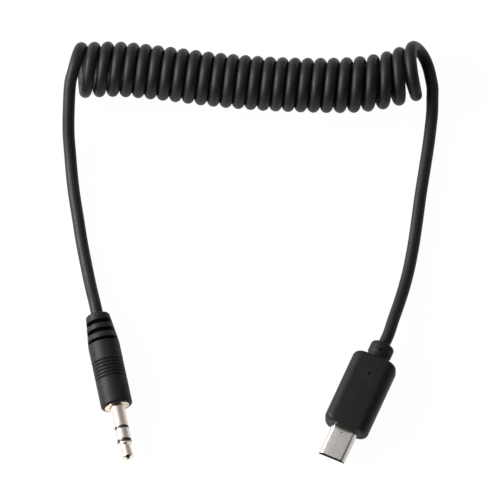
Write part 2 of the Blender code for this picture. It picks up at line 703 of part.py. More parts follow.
def pit_cutter(name, x, surface, parent):
    bm = bmesh.new()
    radius = PIT_DIAMETER / 2
    depth = PIT_DEPTH + CUT
    bmesh.ops.create_cone(bm, cap_ends=True, segments=PIT_STEPS, radius1=radius, radius2=radius, depth=depth)
    bmesh.ops.translate(bm, vec=(x, PIT_OFFSET, surface - PIT_DEPTH + depth / 2), verts=bm.verts)
    return from_bmesh(name, bm, parent)


def camera_plug_overmould(parent):
    stations = end_stations(-PLUG_LENGTH, 1) + list(reversed(end_stations(0.0, -1)))
    body = lofted("camera_plug_overmould", stations, parent)
    boolean(body, plug_neck(parent), "UNION")
    cavity_low = (PLUG_CAVITY_REAR, -PLUG_WIDTH / 2 + PLUG_WALL, -PLUG_THICKNESS / 2 + PLUG_WALL)
    cavity_high = (-PLUG_FRONT_WALL, PLUG_WIDTH / 2 - PLUG_WALL, PLUG_THICKNESS / 2 - PLUG_WALL)
    boolean(body, block("camera_plug_cavity", cavity_low, cavity_high, parent))
    boolean(body, bore_cutter("camera_plug_bore", PLUG_REAR - CUT, PLUG_CAVITY_REAR + CUT, parent))
    slot_rear = -PLUG_FRONT_WALL - CUT
    boolean(body, extruded("camera_plug_shell_slot", shell_outline(MOULD_FIT), slot_rear, CUT, parent))
    body_pit = -PLUG_LENGTH + BODY_PIT_FROM_REAR
    boolean(body, pit_cutter("camera_plug_body_pit", body_pit, PLUG_THICKNESS / 2, parent))
    neck_pit = -PLUG_LENGTH - NECK_PIT_FROM_BODY
    boolean(body, pit_cutter("camera_plug_neck_pit", neck_pit, NECK_BULGE_DIAMETER / 2, parent))
    return finish(body, PLASTIC_BLACK)


def bore_cutter(name, near, far, parent):
    profile = [(near, 0.0), (near, CORD_BORE), (far, CORD_BORE), (far, 0.0)]
    return turned(name, profile, parent, steps=INNER_STEPS)


def camera_plug_inner_mould(parent):
    side = PLUG_WIDTH / 2 - PLUG_WALL - MOULD_FIT
    height = PLUG_THICKNESS / 2 - PLUG_WALL - MOULD_FIT
    front = -PLUG_FRONT_WALL - MOULD_FIT
    rear = PLUG_CAVITY_REAR + MOULD_FIT
    mould = block("camera_plug_inner_mould", (rear, -side, -height), (front, side, height), parent)
    pocket_low = (POCKET_REAR, -POCKET_WIDTH / 2, -POCKET_HEIGHT / 2)
    pocket_high = (POCKET_FRONT, POCKET_WIDTH / 2, POCKET_HEIGHT / 2)
    boolean(mould, block("camera_plug_pocket", pocket_low, pocket_high, parent))
    tunnel_rear = POCKET_FRONT - MOULD_FIT
    boolean(mould, extruded("camera_plug_shell_tunnel", shell_outline(MOULD_FIT), tunnel_rear, CUT, parent))
    bore_rear = PLUG_CAVITY_REAR - CUT
    boolean(mould, bore_cutter("camera_plug_mould_bore", bore_rear, POCKET_REAR + MOULD_FIT, parent))
    return finish(mould, MOULD_NATURAL)


def camera_plug_shell(parent):
    outside = shell_outline(0.0, SHELL_WALL)
    inside = shell_outline(-SHELL_WALL, SHELL_WALL / 2)
    shell = extruded("camera_plug_shell", outside, SHELL_REAR, SHELL_EXPOSED, parent)
    mouth = SHELL_EXPOSED + CUT
    boolean(shell, extruded("camera_plug_shell_hollow", inside, SHELL_REAR - CUT, mouth, parent))
    near = HOOK_START - HOOK_FIT
    far = HOOK_START + HOOK_LENGTH + HOOK_FIT
    half = LATCH_WIDTH / 2 + HOOK_FIT
    for name, side in (("left", -1), ("right", 1)):
        middle = side * LATCH_OFFSET
        window = block(f"camera_plug_window_{name}", (near, middle - half, -SHELL_HEIGHT),
                       (far, middle + half, SHELL_FLOOR + MOULD_FIT), parent)
        boolean(shell, window)
    return finish(shell, STEEL)


def contact_places():
    return [(index - (CONTACT_COUNT - 1) / 2) * CONTACT_PITCH for index in range(CONTACT_COUNT)]


def camera_plug_insulator(parent):
    """A block that fills the shell's rear and a tongue that carries the contacts on its underside."""
    floor = SHELL_FLOOR + MOULD_FIT
    block_front = SHELL_REAR + INSULATOR_BLOCK_LENGTH
    half = INSULATOR_BLOCK_WIDTH / 2
    rear = SHELL_REAR
    insulator = block("camera_plug_insulator", (rear, -half, floor), (block_front, half, TONGUE_TOP), parent)
    tongue_low = (block_front - MOULD_FIT, -TONGUE_WIDTH / 2, TONGUE_TOP - TONGUE_THICKNESS)
    tongue_high = (SHELL_EXPOSED - TONGUE_SETBACK, TONGUE_WIDTH / 2, TONGUE_TOP)
    boolean(insulator, block("camera_plug_tongue", tongue_low, tongue_high, parent), "UNION")
    groove_half = CONTACT_WIDTH / 2 + MOULD_FIT
    groove_floor = CONTACT_LOW - MOULD_FIT
    groove_top = CONTACT_LOW + CONTACT_THICKNESS + MOULD_FIT
    for number, middle in enumerate(contact_places(), start=1):
        groove = block(f"camera_plug_groove_{number}", (rear - CUT, middle - groove_half, groove_floor),
                       (SHELL_EXPOSED, middle + groove_half, groove_top), parent)
        boolean(insulator, groove)
    return finish(insulator, INSULATOR_BLACK)


def camera_plug_contacts(parent):
    for number, middle in enumerate(contact_places(), start=1):
        contact = block(f"camera_plug_contact_{number}",
                        (SHELL_REAR - CONTACT_TAIL, middle - CONTACT_WIDTH / 2, CONTACT_LOW),
                        (SHELL_EXPOSED - CONTACT_SETBACK, middle + CONTACT_WIDTH / 2,
                         CONTACT_LOW + CONTACT_THICKNESS), parent)
        finish(contact, CONTACT_GOLD)


def camera_plug_latch(name, side, axis):
    """A spring strip that bends at its rear end, with a hook that stands out through the shell's floor."""
    low = SHELL_FLOOR + MOULD_FIT
    hinge = bpy.data.objects.new(name + "_hinge", None)
    bpy.context.collection.objects.link(hinge)
    hinge.parent = axis
    hinge.location = (LATCH_ROOT, side * LATCH_OFFSET, low)
    hook_depth = SHELL_WALL + MOULD_FIT + HOOK_PROUD
    hook_start = HOOK_START - LATCH_ROOT
    hook_end = hook_start + HOOK_LENGTH
    reach = LATCH_REACH - LATCH_ROOT
    outline = [(0, 0), (0, LATCH_THICKNESS), (reach, LATCH_THICKNESS), (reach, 0), (hook_end, 0),
               (hook_start + HOOK_BACK_SLOPE + HOOK_CREST, -hook_depth),
               (hook_start + HOOK_BACK_SLOPE, -hook_depth), (hook_start, 0)]
    bm = bmesh.new()
    face = bm.faces.new([bm.verts.new((x, -LATCH_WIDTH / 2, z)) for x, z in outline])
    moved = bmesh.ops.extrude_face_region(bm, geom=[face])["geom"]
    new_verts = [element for element in moved if isinstance(element, bmesh.types.BMVert)]
    bmesh.ops.translate(bm, vec=(0, LATCH_WIDTH, 0), verts=new_verts)
    return finish(from_bmesh(name, bm, hinge), STEEL)


def camera_plug_wires(parent):
    """Three wires from the cord's end to the first, third and fifth contacts."""
    start = PLUG_CORD_FRONT + WIRE_GAP
    end = SHELL_REAR - CONTACT_TAIL - WIRE_GAP
    height = CONTACT_LOW + CONTACT_THICKNESS / 2
    places = contact_places()
    looks = (WIRE_RED, WIRE_COPPER, WIRE_WHITE)
    bend = (end - start) / 4
    for number, look in enumerate(looks):
        middle = places[number * 2]
        inner = (number - 1) * WIRE_SPREAD
        points = [(start, inner, 0), (start + bend, inner, 0),
                  (end - bend, middle, height), (end, middle, height)]
        tube(f"camera_plug_wire_{number + 1}", points, WIRE_DIAMETER, 1, look, parent)


def make_camera_plug():
    axis = carrier("camera_plug_axis", PLUG_POSITION, PLUG_THICKNESS / 2, PLUG_HEADING)
    camera_plug_overmould(axis)
    camera_plug_inner_mould(axis)
    camera_plug_shell(axis)
    camera_plug_insulator(axis)
    camera_plug_contacts(axis)
    camera_plug_latch("camera_plug_latch_left", -1, axis)
    camera_plug_latch("camera_plug_latch_right", 1, axis)
    cord_end("camera_plug_cord_end", PLUG_REAR, PLUG_CORD_FRONT, axis)
    camera_plug_wires(axis)
    return axis


# ---------------------------------------------------------------- cord

def coil_point(angle):
    """The cord's middle at an angle round the coil in degrees, falling as the cord winds towards +X."""
    turn = (TURN_START - angle) / 360
    middle = smooth_value([(at, Vector(place)) for at, place in COIL_MIDDLE], turn) * MM
    radius = smooth_value(COIL_DIAMETER, turn) * MM / 2
    lean = math.radians(smooth_value(COIL_LEAN, turn))
    tip = math.radians(smooth_value(COIL_TIP, turn))
    forward = radius * math.cos(math.radians(angle))
    up = radius * math.sin(math.radians(angle))
    across = Vector((math.sin(lean), math.cos(lean)))
    along = Vector((math.cos(lean), -math.sin(lean)))
    level = middle + across * forward - along * up * math.sin(tip)
    return Vector((*level, radius + CORD_DIAMETER / 2 + up * math.cos(tip)))


def coil_points():
    """The curls from the first turn's top to the last one's underside, with a straight run at each end."""
    last = COIL_LAST_ANGLE - 360 * WHOLE_TURNS
    sweep = last - COIL_FIRST_ANGLE
    count = round(-sweep / 360 * POINTS_PER_TURN)
    points = [coil_point(COIL_FIRST_ANGLE + sweep * step / count) for step in range(count + 1)]
    leaving = (coil_point(COIL_FIRST_ANGLE + 1) - coil_point(COIL_FIRST_ANGLE - 1)).normalized()
    arriving = (coil_point(last - 1) - coil_point(last + 1)).normalized()
    return [points[0] + leaving * CORD_DIAMETER] + points + [points[-1] + arriving * CORD_DIAMETER]


def least_gap(points, diameter):
    """The least gap between one turn and another, measured on the cord's points."""
    half_turn = POINTS_PER_TURN // 2
    gaps = []
    for index, point in enumerate(points):
        for other in points[index + half_turn:index + 3 * POINTS_PER_TURN]:
            gaps.append((point - other).length - diameter)
    return min(gaps)


def plug_entry(axis, rear):
    """Where a tail's straight end run starts and stops behind a plug."""
    heading = axis.rotation_euler.z
    forward = Vector((math.cos(heading), math.sin(heading), 0))
    stop = Vector(axis.location) + forward * (rear - CORD_GAP)
    return [stop - forward * CORD_DIAMETER, stop]


def tail_points(coil_end, route, entry):
    """A tail from the coil's end face, along its route and straight into a plug."""
    leaving = (coil_end[1] - coil_end[0]).normalized()
    start = coil_end[1] + leaving * CORD_GAP
    points = [start] + [Vector(point) * MM for point in route]
    return smooth_route(points + entry, TAIL_POINT_SPACING * CORD_DIAMETER)


def make_cord(jack_axis, plug_axis):
    coil = coil_points()
    coiled_diameter = CORD_DIAMETER - TURN_ALLOWANCE
    tube("cord_coil", coil, coiled_diameter, 1, CORD_BLACK)
    jack_tail = tail_points((coil[1], coil[0]), JACK_TAIL_ROUTE, plug_entry(jack_axis, -JACK_BODY_LENGTH))
    plug_tail = tail_points((coil[-2], coil[-1]), PLUG_TAIL_ROUTE, plug_entry(plug_axis, PLUG_REAR))
    tube("cord_jack_tail", jack_tail, CORD_DIAMETER, 2, CORD_BLACK)
    tube("cord_camera_tail", plug_tail, CORD_DIAMETER, 2, CORD_BLACK)
    runs = (jack_tail, coil, plug_tail)
    lengths = [sum((b - a).length for a, b in zip(run, run[1:])) / MM for run in runs]
    print(f"least gap between turns {least_gap(coil, coiled_diameter) / MM:.3f} mm")
    print("cord lengths", [round(length, 1) for length in lengths], "mm, in all", round(sum(lengths), 1))


def main():
    clear_scene()
    jack_axis = make_jack()
    plug_axis = make_camera_plug()
    bpy.context.view_layer.update()
    make_cord(jack_axis, plug_axis)


main()
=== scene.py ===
"""Looks of the coiled camera release cable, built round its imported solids.

Metres, +Z up, in the solids' own frame: the cable lies on the plane z = 0, +X runs along the closed coil and
+Y from the plug tips towards the coil.  Each plug's pieces are modelled along their own +X, towards the tip,
with x = 0 in the front face of the overmould, and are then laid in the plug's place.
"""

import json
import math

import bmesh
import bpy
from mathutils import Matrix, Vector
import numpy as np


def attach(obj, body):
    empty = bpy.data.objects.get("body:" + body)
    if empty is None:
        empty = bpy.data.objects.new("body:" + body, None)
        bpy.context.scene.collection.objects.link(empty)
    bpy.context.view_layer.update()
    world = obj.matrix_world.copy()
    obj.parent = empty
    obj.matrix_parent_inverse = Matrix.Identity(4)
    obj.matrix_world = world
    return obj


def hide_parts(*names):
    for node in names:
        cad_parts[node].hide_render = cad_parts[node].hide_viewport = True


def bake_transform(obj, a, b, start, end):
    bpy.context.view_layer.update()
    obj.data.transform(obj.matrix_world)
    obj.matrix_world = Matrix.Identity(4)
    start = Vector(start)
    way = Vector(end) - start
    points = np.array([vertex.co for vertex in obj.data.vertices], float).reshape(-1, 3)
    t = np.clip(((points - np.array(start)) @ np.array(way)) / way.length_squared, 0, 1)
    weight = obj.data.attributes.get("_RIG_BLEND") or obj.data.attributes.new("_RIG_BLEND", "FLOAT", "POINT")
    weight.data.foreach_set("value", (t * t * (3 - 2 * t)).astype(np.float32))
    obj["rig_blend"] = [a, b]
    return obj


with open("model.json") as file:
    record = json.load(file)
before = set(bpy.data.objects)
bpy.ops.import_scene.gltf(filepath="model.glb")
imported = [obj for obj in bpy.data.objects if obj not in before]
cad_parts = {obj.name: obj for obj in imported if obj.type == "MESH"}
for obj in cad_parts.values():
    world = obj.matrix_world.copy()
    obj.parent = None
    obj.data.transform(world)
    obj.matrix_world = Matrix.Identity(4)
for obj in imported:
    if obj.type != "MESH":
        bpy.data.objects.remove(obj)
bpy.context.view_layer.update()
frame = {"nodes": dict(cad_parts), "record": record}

MM = 0.001

# View
PHOTO_PIXELS = 502
PIXELS_PER_MM = 4.07
LOOK_AT = (2.46 * MM, 37.45 * MM, 0.0)
VIEW_ELEVATION = math.radians(69)
VIEW_DISTANCE = 5.5
SENSOR_MM = 36.0

# Places of the plugs: where the overmould's front face stands, and where the plug points
JACK_PLACE = (-30.34 * MM, -4.86 * MM, 3.9 * MM)
JACK_HEADING = math.radians(-78.5)
PLUG_PLACE = (25.35 * MM, -10.83 * MM, 3.9 * MM)
PLUG_HEADING = math.radians(-113.5)

# Fits
MOULD_FIT = 0.05 * MM
JOINT_FIT = 0.05 * MM
CORD_SEAT = 0.02 * MM          # between the cord's end face and the cord's end inside a plug

# Cord
CORD_DIAMETER = 3.0 * MM
CORD_RADIUS = CORD_DIAMETER / 2
CORD_BORE = CORD_RADIUS + MOULD_FIT
CORD_SIDES = 20
RINGS_PER_TURN = 36
TAIL_RING_SPACING = 0.9 * MM
EASED_TURNS = 0.75             # turns at each end of the coil over which its stretch sets in
COIL_MIDDLE = (
    (-0.25, (-40.95, 82.15)),
    (0.0, (-39.85, 82.40)),
    (0.5, (-38.00, 82.53)),
    (3.0, (-29.75, 82.73)),
    (6.5, (-19.05, 81.68)),
    (10.5, (-6.65, 80.08)),
    (14.5, (5.55, 79.00)),
    (18.5, (17.90, 78.53)),
    (21.5, (27.70, 78.60)),
    (23.5, (34.60, 79.53)),
    (25.4, (41.45, 81.55)),
    (26.0, (43.60, 82.53)),
    (26.2, (45.00, 82.85)),
    (26.4, (46.00, 82.90)),
)
COIL_DIAMETER = (              # of the cord's middle line round a turn, in millimetres, by turn number
    (-0.25, 11.10),
    (0.5, 10.90),
    (3.5, 10.65),
    (7.0, 10.50),
    (17.0, 10.50),
    (20.0, 10.70),
    (22.5, 10.95),
    (24.5, 11.05),
    (25.5, 11.30),
    (26.4, 11.50),
)
COIL_LEAN = (                  # degrees from +Y towards +X
    (-0.25, 8.0),
    (0.5, 3.6),
    (3.0, 2.4),
    (8.5, 2.0),
    (14.5, 1.2),
    (19.5, 0.8),
    (22.5, -1.8),
    (24.5, -6.5),
    (25.4, -10.0),
    (26.0, -9.5),
    (26.4, 0.0),
)
COIL_TIP = (                   # degrees that a turn's top is tipped towards the jack's end
    (-0.25, 0.0),
    (23.5, 0.0),
    (24.2, 2.0),
    (24.8, 6.0),
    (25.8, 11.0),
    (26.4, 11.0),
)
TURN_START = 21.0
COIL_FIRST_ANGLE = 110.0
COIL_LAST_ANGLE = -90.0
WHOLE_TURNS = 26
GUIDE_ANGLE = 10.0             # between the points of the coil that guide a tail into it
JACK_TAIL_ROUTE = (
    (-42.33, 72.25, 8.70),
    (-42.40, 66.55, 5.25),
    (-42.00, 61.55, 2.95),
    (-41.56, 56.55, 1.80),
    (-40.98, 51.55, 1.55),
    (-40.10, 45.75, 1.55),
    (-39.17, 39.55, 1.55),
    (-38.20, 34.15, 1.65),
    (-37.45, 30.15, 2.05),
    (-36.68, 26.15, 2.80),
)
PLUG_TAIL_ROUTE = (
    (47.15, 77.80, 1.55),
    (47.05, 73.35, 1.55),
    (46.64, 69.15, 1.55),
    (46.14, 64.95, 1.55),
    (45.20, 58.55, 1.55),
    (44.15, 51.55, 1.55),
    (43.15, 43.85, 1.55),
    (42.33, 38.15, 1.55),
    (41.20, 31.95, 1.70),
    (39.96, 26.75, 2.15),
    (38.65, 22.15, 2.80),
    (37.31, 17.89, 3.45),
)

# Jack plug
JACK_LENGTH = 24.4 * MM
JACK_RADIUS = 3.9 * MM
JACK_REAR_RADIUS = 3.0 * MM
JACK_TAPER_LENGTH = 7.9 * MM
JACK_REAR_FILLET = 0.7 * MM
JACK_FRONT_FILLET = 0.6 * MM
JACK_CAVITY_LENGTH = 15.8 * MM
JACK_CAVITY_RADIUS = 2.9 * MM
SLOTS = ((2.05 * MM, 1.05 * MM), (4.45 * MM, 1.05 * MM), (6.95 * MM, 0.80 * MM))
SLOT_FLOOR_WALL = 0.4 * MM
SLOT_SPAN = math.radians(158)
SLOT_MIDDLE = math.radians(110)
SLOT_LIP = 0.08 * MM           # rounding of a slot's long edges
SLOT_EDGE = (                  # how far into the slot, in lips, and the share of its depth there
    (-1.0, 0.0),
    (-0.6, 0.012),
    (-0.3, 0.04),
    (-0.1, 0.09),
    (0.05, 0.17),
    (0.12, 1.0),
)
SLOT_RUNOUT = math.radians(8)  # how soon a slot deepens at its ends
SLOT_SHADE = 4.0               # how many times sooner than its depth a slot's painted shade is full
GROOVE_COUNT = 6
GROOVE_FIRST = 12.65 * MM
GROOVE_PITCH = 0.87 * MM
GROOVE_WIDTH = 0.42 * MM
GROOVE_SPREAD = 0.08 * MM      # rounding of a groove's edges, outside its width
GROOVE_DEPTH = 0.26 * MM
GROOVE_ROUNDNESS = 0.8         # power of the cosine that is the groove's section
TAPER_END_SPACING = 0.15 * MM  # the taper runs into the body by a slight easing
TAPER_END_DROP = 0.004 * MM
TAPER_END_STEPS = 4
COLLAR_RADIUS = 3.05 * MM
COLLAR_DEPTH = 1.2 * MM
COLLAR_PROUD = 0.1 * MM
SHAFT_RADIUS = 1.75 * MM
SHAFT_LENGTH = 14.1 * MM
SHAFT_RELIEF_WIDTH = 0.3 * MM
SHAFT_RELIEF_DEPTH = 0.25 * MM
SLEEVE_LENGTH = 5.4 * MM
SLEEVE_WALL = 0.45 * MM
INSULATOR_WALL = 0.22 * MM
RING_TUBE_WALL = 0.25 * MM
RING_START = 6.1 * MM
RING_LENGTH = 2.7 * MM
TIP_START = 9.6 * MM
TIP_COLLAR_LENGTH = 0.5 * MM
TIP_COLLAR_RADIUS = 1.65 * MM
TIP_NECK_RADIUS = 1.2 * MM
TIP_HEAD_RADIUS = 1.475 * MM
TIP_SHOULDER_RADIUS = 1.37 * MM
TIP_SHOULDER_LENGTH = 0.26 * MM
TIP_END_RADIUS = 0.6 * MM
TIP_NOSE_LENGTH = 0.9 * MM
BARREL_RADIUS = 2.2 * MM
BARREL_LENGTH = 3.3 * MM
BARREL_NECK_RADIUS = 1.65 * MM
BARREL_NECK_LENGTH = 2.0 * MM
RING_INSULATOR_BACK = 0.5 * MM
RING_TUBE_BACK = 1.2 * MM
TIP_INSULATOR_BACK = 0.7 * MM
TIP_ROD_BACK = 1.2 * MM
METAL_EDGE = 0.06 * MM         # rounding of a turned metal edge
MOULD_EDGE = 0.08 * MM         # rounding of a moulded edge

# Camera plug
PLUG_LENGTH = 19.7 * MM
PLUG_WIDTH = 11.35 * MM
PLUG_THICKNESS = 7.8 * MM
PLUG_EDGE_RADIUS = 2.6 * MM
PLUG_CORNER_RADIUS = 1.5 * MM
PLUG_END_FILLET = 0.8 * MM
PLUG_WALL = 1.3 * MM
PLUG_FRONT_WALL = 1.6 * MM
PLUG_REAR_WALL = 2.4 * MM
NECK_LENGTH = 4.4 * MM
NECK_BULGE_RADIUS = 3.0 * MM
NECK_WAIST_RADIUS = 2.75 * MM
NECK_WAIST_LENGTH = 0.9 * MM
NECK_FILLET = 0.9 * MM
NECK_SHOULDER_ANGLE = 50
PIT_RADIUS = 0.375 * MM
PIT_DEPTH = 0.6 * MM
BODY_PIT_FROM_REAR = 5.2 * MM
NECK_PIT_FROM_BODY = 2.0 * MM
PIT_OFFSET = 0.3 * MM          # to the plug's side that faces away from the jack
SHELL_EXPOSED = 8.0 * MM
SHELL_BURIED = 6.0 * MM
SHELL_WIDTH = 6.85 * MM
SHELL_TOP_WIDTH = 5.15 * MM
SHELL_HEIGHT = 1.8 * MM
SHELL_SIDE_HEIGHT = 0.75 * MM
SHELL_WALL = 0.3 * MM
SHELL_CORNER = 0.3 * MM
SHELL_RIM = 0.05 * MM          # rounding of the shell's cut edge
SHELL_LIP = 0.12 * MM          # wall left at the mouth, which is flared inside
SHELL_FLARE = 0.6 * MM         # how far the flare reaches into the shell
DEEP_FROM, DEEP_TO = 0.6, 0.9  # depths below the shell's outside, in lips, from which it counts as its inside, which gets painted shade
LATCH_WIDTH = 0.55 * MM
LATCH_OFFSET = 2.47 * MM
HOOK_START = 5.2 * MM
HOOK_LENGTH = 1.1 * MM
HOOK_FIT = 0.12 * MM
SEAM_START = 2.4 * MM
SEAM_WIDTH = 0.10 * MM
SEAM_DEPTH = 0.05 * MM
SEAM_STEP = 0.15 * MM          # how far the seam's teeth stand to either side
SEAM_TOOTH = 0.65 * MM
SEAM_TEETH = 8
SEAM_STRAIGHT = 0.7            # share of a tooth that runs along the shell
NOTCH_START = 1.15 * MM        # the pressed notch is a small V whose point looks at the mouth
NOTCH_SIDE = -0.25 * MM
NOTCH_LENGTH = 0.45 * MM
NOTCH_HALF_WIDTH = 0.42 * MM
NOTCH_STROKE = 0.22 * MM
NOTCH_DEPTH = 0.12 * MM

# Fineness
TURN_STEPS = 96
JACK_STEPS = 144
ARC_STEPS = 10
EDGE_STEPS = 4
PIT_STEPS = 32
CUT = 1.0 * MM                 # how far a cutter reaches past what it cuts
SHARP = math.radians(32)       # an edge sharper than this isn't shaded smooth
CORD_SHARP = math.radians(60)
SHELL_SHARP = math.radians(25)

# Light
SKY_SEEN = 1.0                 # the world's strength for what the camera sees behind the object
SKY_DIFFUSE = 0.7
SKY_BY_DEPTH = (               # the mirrored studio's brightness from front to back, with its colour
    (0.00, (0.02, 0.02, 0.02)),
    (0.30, (0.04, 0.04, 0.04)),
    (0.40, (0.15, 0.14, 0.13)),
    (0.47, (0.55, 0.53, 0.51)),
    (0.56, (0.95, 0.93, 0.92)),
    (0.68, (1.00, 0.98, 0.97)),
    (0.85, (0.95, 1.00, 1.10)),
    (1.00, (0.95, 1.15, 1.40)),
)
SKY_BY_SIDE = (                # and how much of that is seen from the left to the right
    (0.00, 0.10),
    (0.02, 0.25),
    (0.06, 0.85),
    (0.36, 0.85),
    (0.47, 0.46),
    (0.61, 0.27),
    (0.88, 0.29),
    (1.00, 0.46),
)
SKY_MIRRORED = 1.4
FLOOR_SEEN = 0.975             # how much of the floor's colour is plain white to the camera
FLOOR_MIRRORED = 0.5           # and in reflections
FLOOR_HALF_SIDE = 1.5
FLOOR_GAP = 0.05 * MM          # keeps the floor off the faces that lie on it
PAPER_GREY = 0.85
LAMP_DIRECTION = (-0.86, 0.08, 0.45)
LAMP_DISTANCE = 0.6
LAMP_WIDTH = 0.60
LAMP_HEIGHT = 0.36
LAMP_WATTS = 10.5


# ---------------------------------------------------------------- finishes

DEEP = "deep"                  # a mesh's own measure, from 0 to 1, of how deep in a recess each point is, by which the finishes paint shade
PAINTED_SHADE_SHARE = 0.1               # how much of the base colour the painted shade leaves where that measure is 1


class Finish:
    """A material in the making: the shader's own sockets, and noise in the piece's own space."""

    def __init__(self, name, roughness, metallic=0.0, **sockets):
        self.material = bpy.data.materials.new(name)
        self.material.use_nodes = True
        self.nodes = self.material.node_tree.nodes
        self.links = self.material.node_tree.links
        self.shader = self.nodes["Principled BSDF"]
        self.shader.inputs["Roughness"].default_value = roughness
        self.shader.inputs["Metallic"].default_value = metallic
        for socket, value in sockets.items():
            self.shader.inputs[socket.replace("_", " ").title().replace("Ior", "IOR")].default_value = value
        self.place = self.nodes.new("ShaderNodeTexCoord").outputs["Object"]

    def stretched(self, scale):
        """The piece's space, squeezed by a factor along each axis."""
        mapping = self.nodes.new("ShaderNodeMapping")
        mapping.inputs["Scale"].default_value = scale
        self.links.new(self.place, mapping.inputs["Vector"])
        return mapping.outputs["Vector"]

    def noise(self, size, detail=3.0, rough=0.5, place=None):
        """Noise whose features are about this size in metres."""
        texture = self.nodes.new("ShaderNodeTexNoise")
        texture.inputs["Scale"].default_value = 1.0 / size
        texture.inputs["Detail"].default_value = detail
        texture.inputs["Roughness"].default_value = rough
        self.links.new(place or self.place, texture.inputs["Vector"])
        return texture.outputs["Fac"]

    def colour(self, source, dark, light, low=0.35, high=0.65):
        """The base colour runs from dark to light as the source runs from low to high."""
        ramp = self.nodes.new("ShaderNodeValToRGB")
        ramp.color_ramp.elements[0].position = low
        ramp.color_ramp.elements[0].color = (*dark, 1.0)
        ramp.color_ramp.elements[1].position = high
        ramp.color_ramp.elements[1].color = (*light, 1.0)
        self.links.new(source, ramp.inputs["Fac"])
        self.links.new(ramp.outputs["Color"], self.shader.inputs["Base Color"])
        return self

    def roughness(self, source, least, most, low=0.3, high=0.7):
        spread = self.nodes.new("ShaderNodeMapRange")
        for socket, value in (("From Min", low), ("From Max", high), ("To Min", least), ("To Max", most)):
            spread.inputs[socket].default_value = value
        self.links.new(source, spread.inputs["Value"])
        self.links.new(spread.outputs["Result"], self.shader.inputs["Roughness"])
        return self

    def paint_shade_where_deep(self, share):
        """Painted shade, on top of the rendered shadow: faces deep in a recess keep only this share of the
        base colour, and are dull.
        """
        deep = self.nodes.new("ShaderNodeAttribute")
        deep.attribute_name = DEEP
        for name, blend_type, level in (("Base Color", "MULTIPLY", share), ("Roughness", "MIX", 1.0)):
            mix = self.nodes.new("ShaderNodeMixRGB")
            mix.blend_type = blend_type
            mix.inputs["Color2"].default_value = (level, level, level, 1.0)
            self.links.new(deep.outputs["Fac"], mix.inputs["Fac"])
            self.links.new(self.shader.inputs[name].links[0].from_socket, mix.inputs["Color1"])
            self.links.new(mix.outputs["Color"], self.shader.inputs[name])
        return self

    def bump(self, source, height, strength=1.0):
        bump = self.nodes.new("ShaderNodeBump")
        bump.inputs["Strength"].default_value = strength
        bump.inputs["Distance"].default_value = height
        self.links.new(source, bump.inputs["Height"])
        self.links.new(bump.outputs["Normal"], self.shader.inputs["Normal"])
        return self


def overmould_black():
    finish = Finish("overmould_black", 0.5, specular_ior_level=0.13)
    finish.colour(finish.noise(2.5 * MM), (0.0068, 0.0068, 0.0071), (0.0092, 0.0092, 0.0095))
    finish.roughness(finish.noise(0.7 * MM), 0.43, 0.53)
    # painted shade in the strain relief slots, darker where they are deeper
    finish.paint_shade_where_deep(PAINTED_SHADE_SHARE)
    return finish.bump(finish.noise(0.12 * MM, detail=2.0), 0.012 * MM).material


def cord_black():
    finish = Finish("cord_black", 0.5, specular_ior_level=0.18)
    finish.colour(finish.noise(4.0 * MM), (0.0066, 0.0066, 0.0070), (0.0088, 0.0088, 0.0092))
    finish.roughness(finish.noise(1.1 * MM), 0.44, 0.54)
    return finish.bump(finish.noise(0.25 * MM, detail=2.0), 0.006 * MM).material


def insulator_black():
    finish = Finish("insulator_black", 0.3, specular_ior_level=0.4)
    finish.colour(finish.noise(0.6 * MM), (0.010, 0.009, 0.009), (0.020, 0.018, 0.018))
    finish.roughness(finish.noise(0.3 * MM), 0.26, 0.38)
    return finish.bump(finish.noise(0.1 * MM), 0.003 * MM).material


def mould_natural():
    finish = Finish("mould_natural", 0.45)
    finish.colour(finish.noise(1.5 * MM), (0.55, 0.53, 0.47), (0.66, 0.64, 0.58))
    finish.roughness(finish.noise(0.6 * MM), 0.40, 0.52)
    return finish.bump(finish.noise(0.3 * MM), 0.01 * MM).material


def nickel():
    finish = Finish("nickel", 0.2, metallic=1.0)
    finish.colour(finish.noise(1.2 * MM), (0.72, 0.645, 0.555), (0.78, 0.705, 0.615))
    turned_marks = finish.stretched((6.0, 0.4, 0.4))
    finish.roughness(finish.noise(0.3 * MM, place=turned_marks), 0.08, 0.14)
    return finish.bump(finish.noise(0.15 * MM, place=turned_marks), 0.0015 * MM).material


def shell_plate():
    finish = Finish("shell_plate", 0.3, metallic=1.0)
    finish.colour(finish.noise(1.5 * MM), (0.66, 0.63, 0.60), (0.72, 0.69, 0.66))
    rolled_marks = finish.stretched((0.3, 5.0, 5.0))
    finish.roughness(finish.noise(0.3 * MM, place=rolled_marks), 0.18, 0.27)
    # painted shade on the shell's inner faces and in its pressed marks
    finish.paint_shade_where_deep(PAINTED_SHADE_SHARE)
    return finish.bump(finish.noise(0.2 * MM, place=rolled_marks), 0.002 * MM).material


def steel():
    finish = Finish("steel", 0.3, metallic=1.0)
    finish.colour(finish.noise(0.8 * MM), (0.52, 0.50, 0.47), (0.62, 0.60, 0.57))
    finish.roughness(finish.noise(0.3 * MM), 0.24, 0.38)
    return finish.bump(finish.noise(0.15 * MM), 0.002 * MM).material


def contact_gold():
    finish = Finish("contact_gold", 0.22, metallic=1.0)
    finish.colour(finish.noise(0.5 * MM), (0.80, 0.56, 0.22), (0.88, 0.66, 0.30))
    finish.roughness(finish.noise(0.2 * MM), 0.18, 0.30)
    return finish.bump(finish.noise(0.1 * MM), 0.001 * MM).material


def wire_insulation(name, dark, light):
    finish = Finish(name, 0.35)
    finish.colour(finish.noise(0.8 * MM), dark, light)
    finish.roughness(finish.noise(0.3 * MM), 0.30, 0.42)
    return finish.bump(finish.noise(0.2 * MM), 0.004 * MM).material


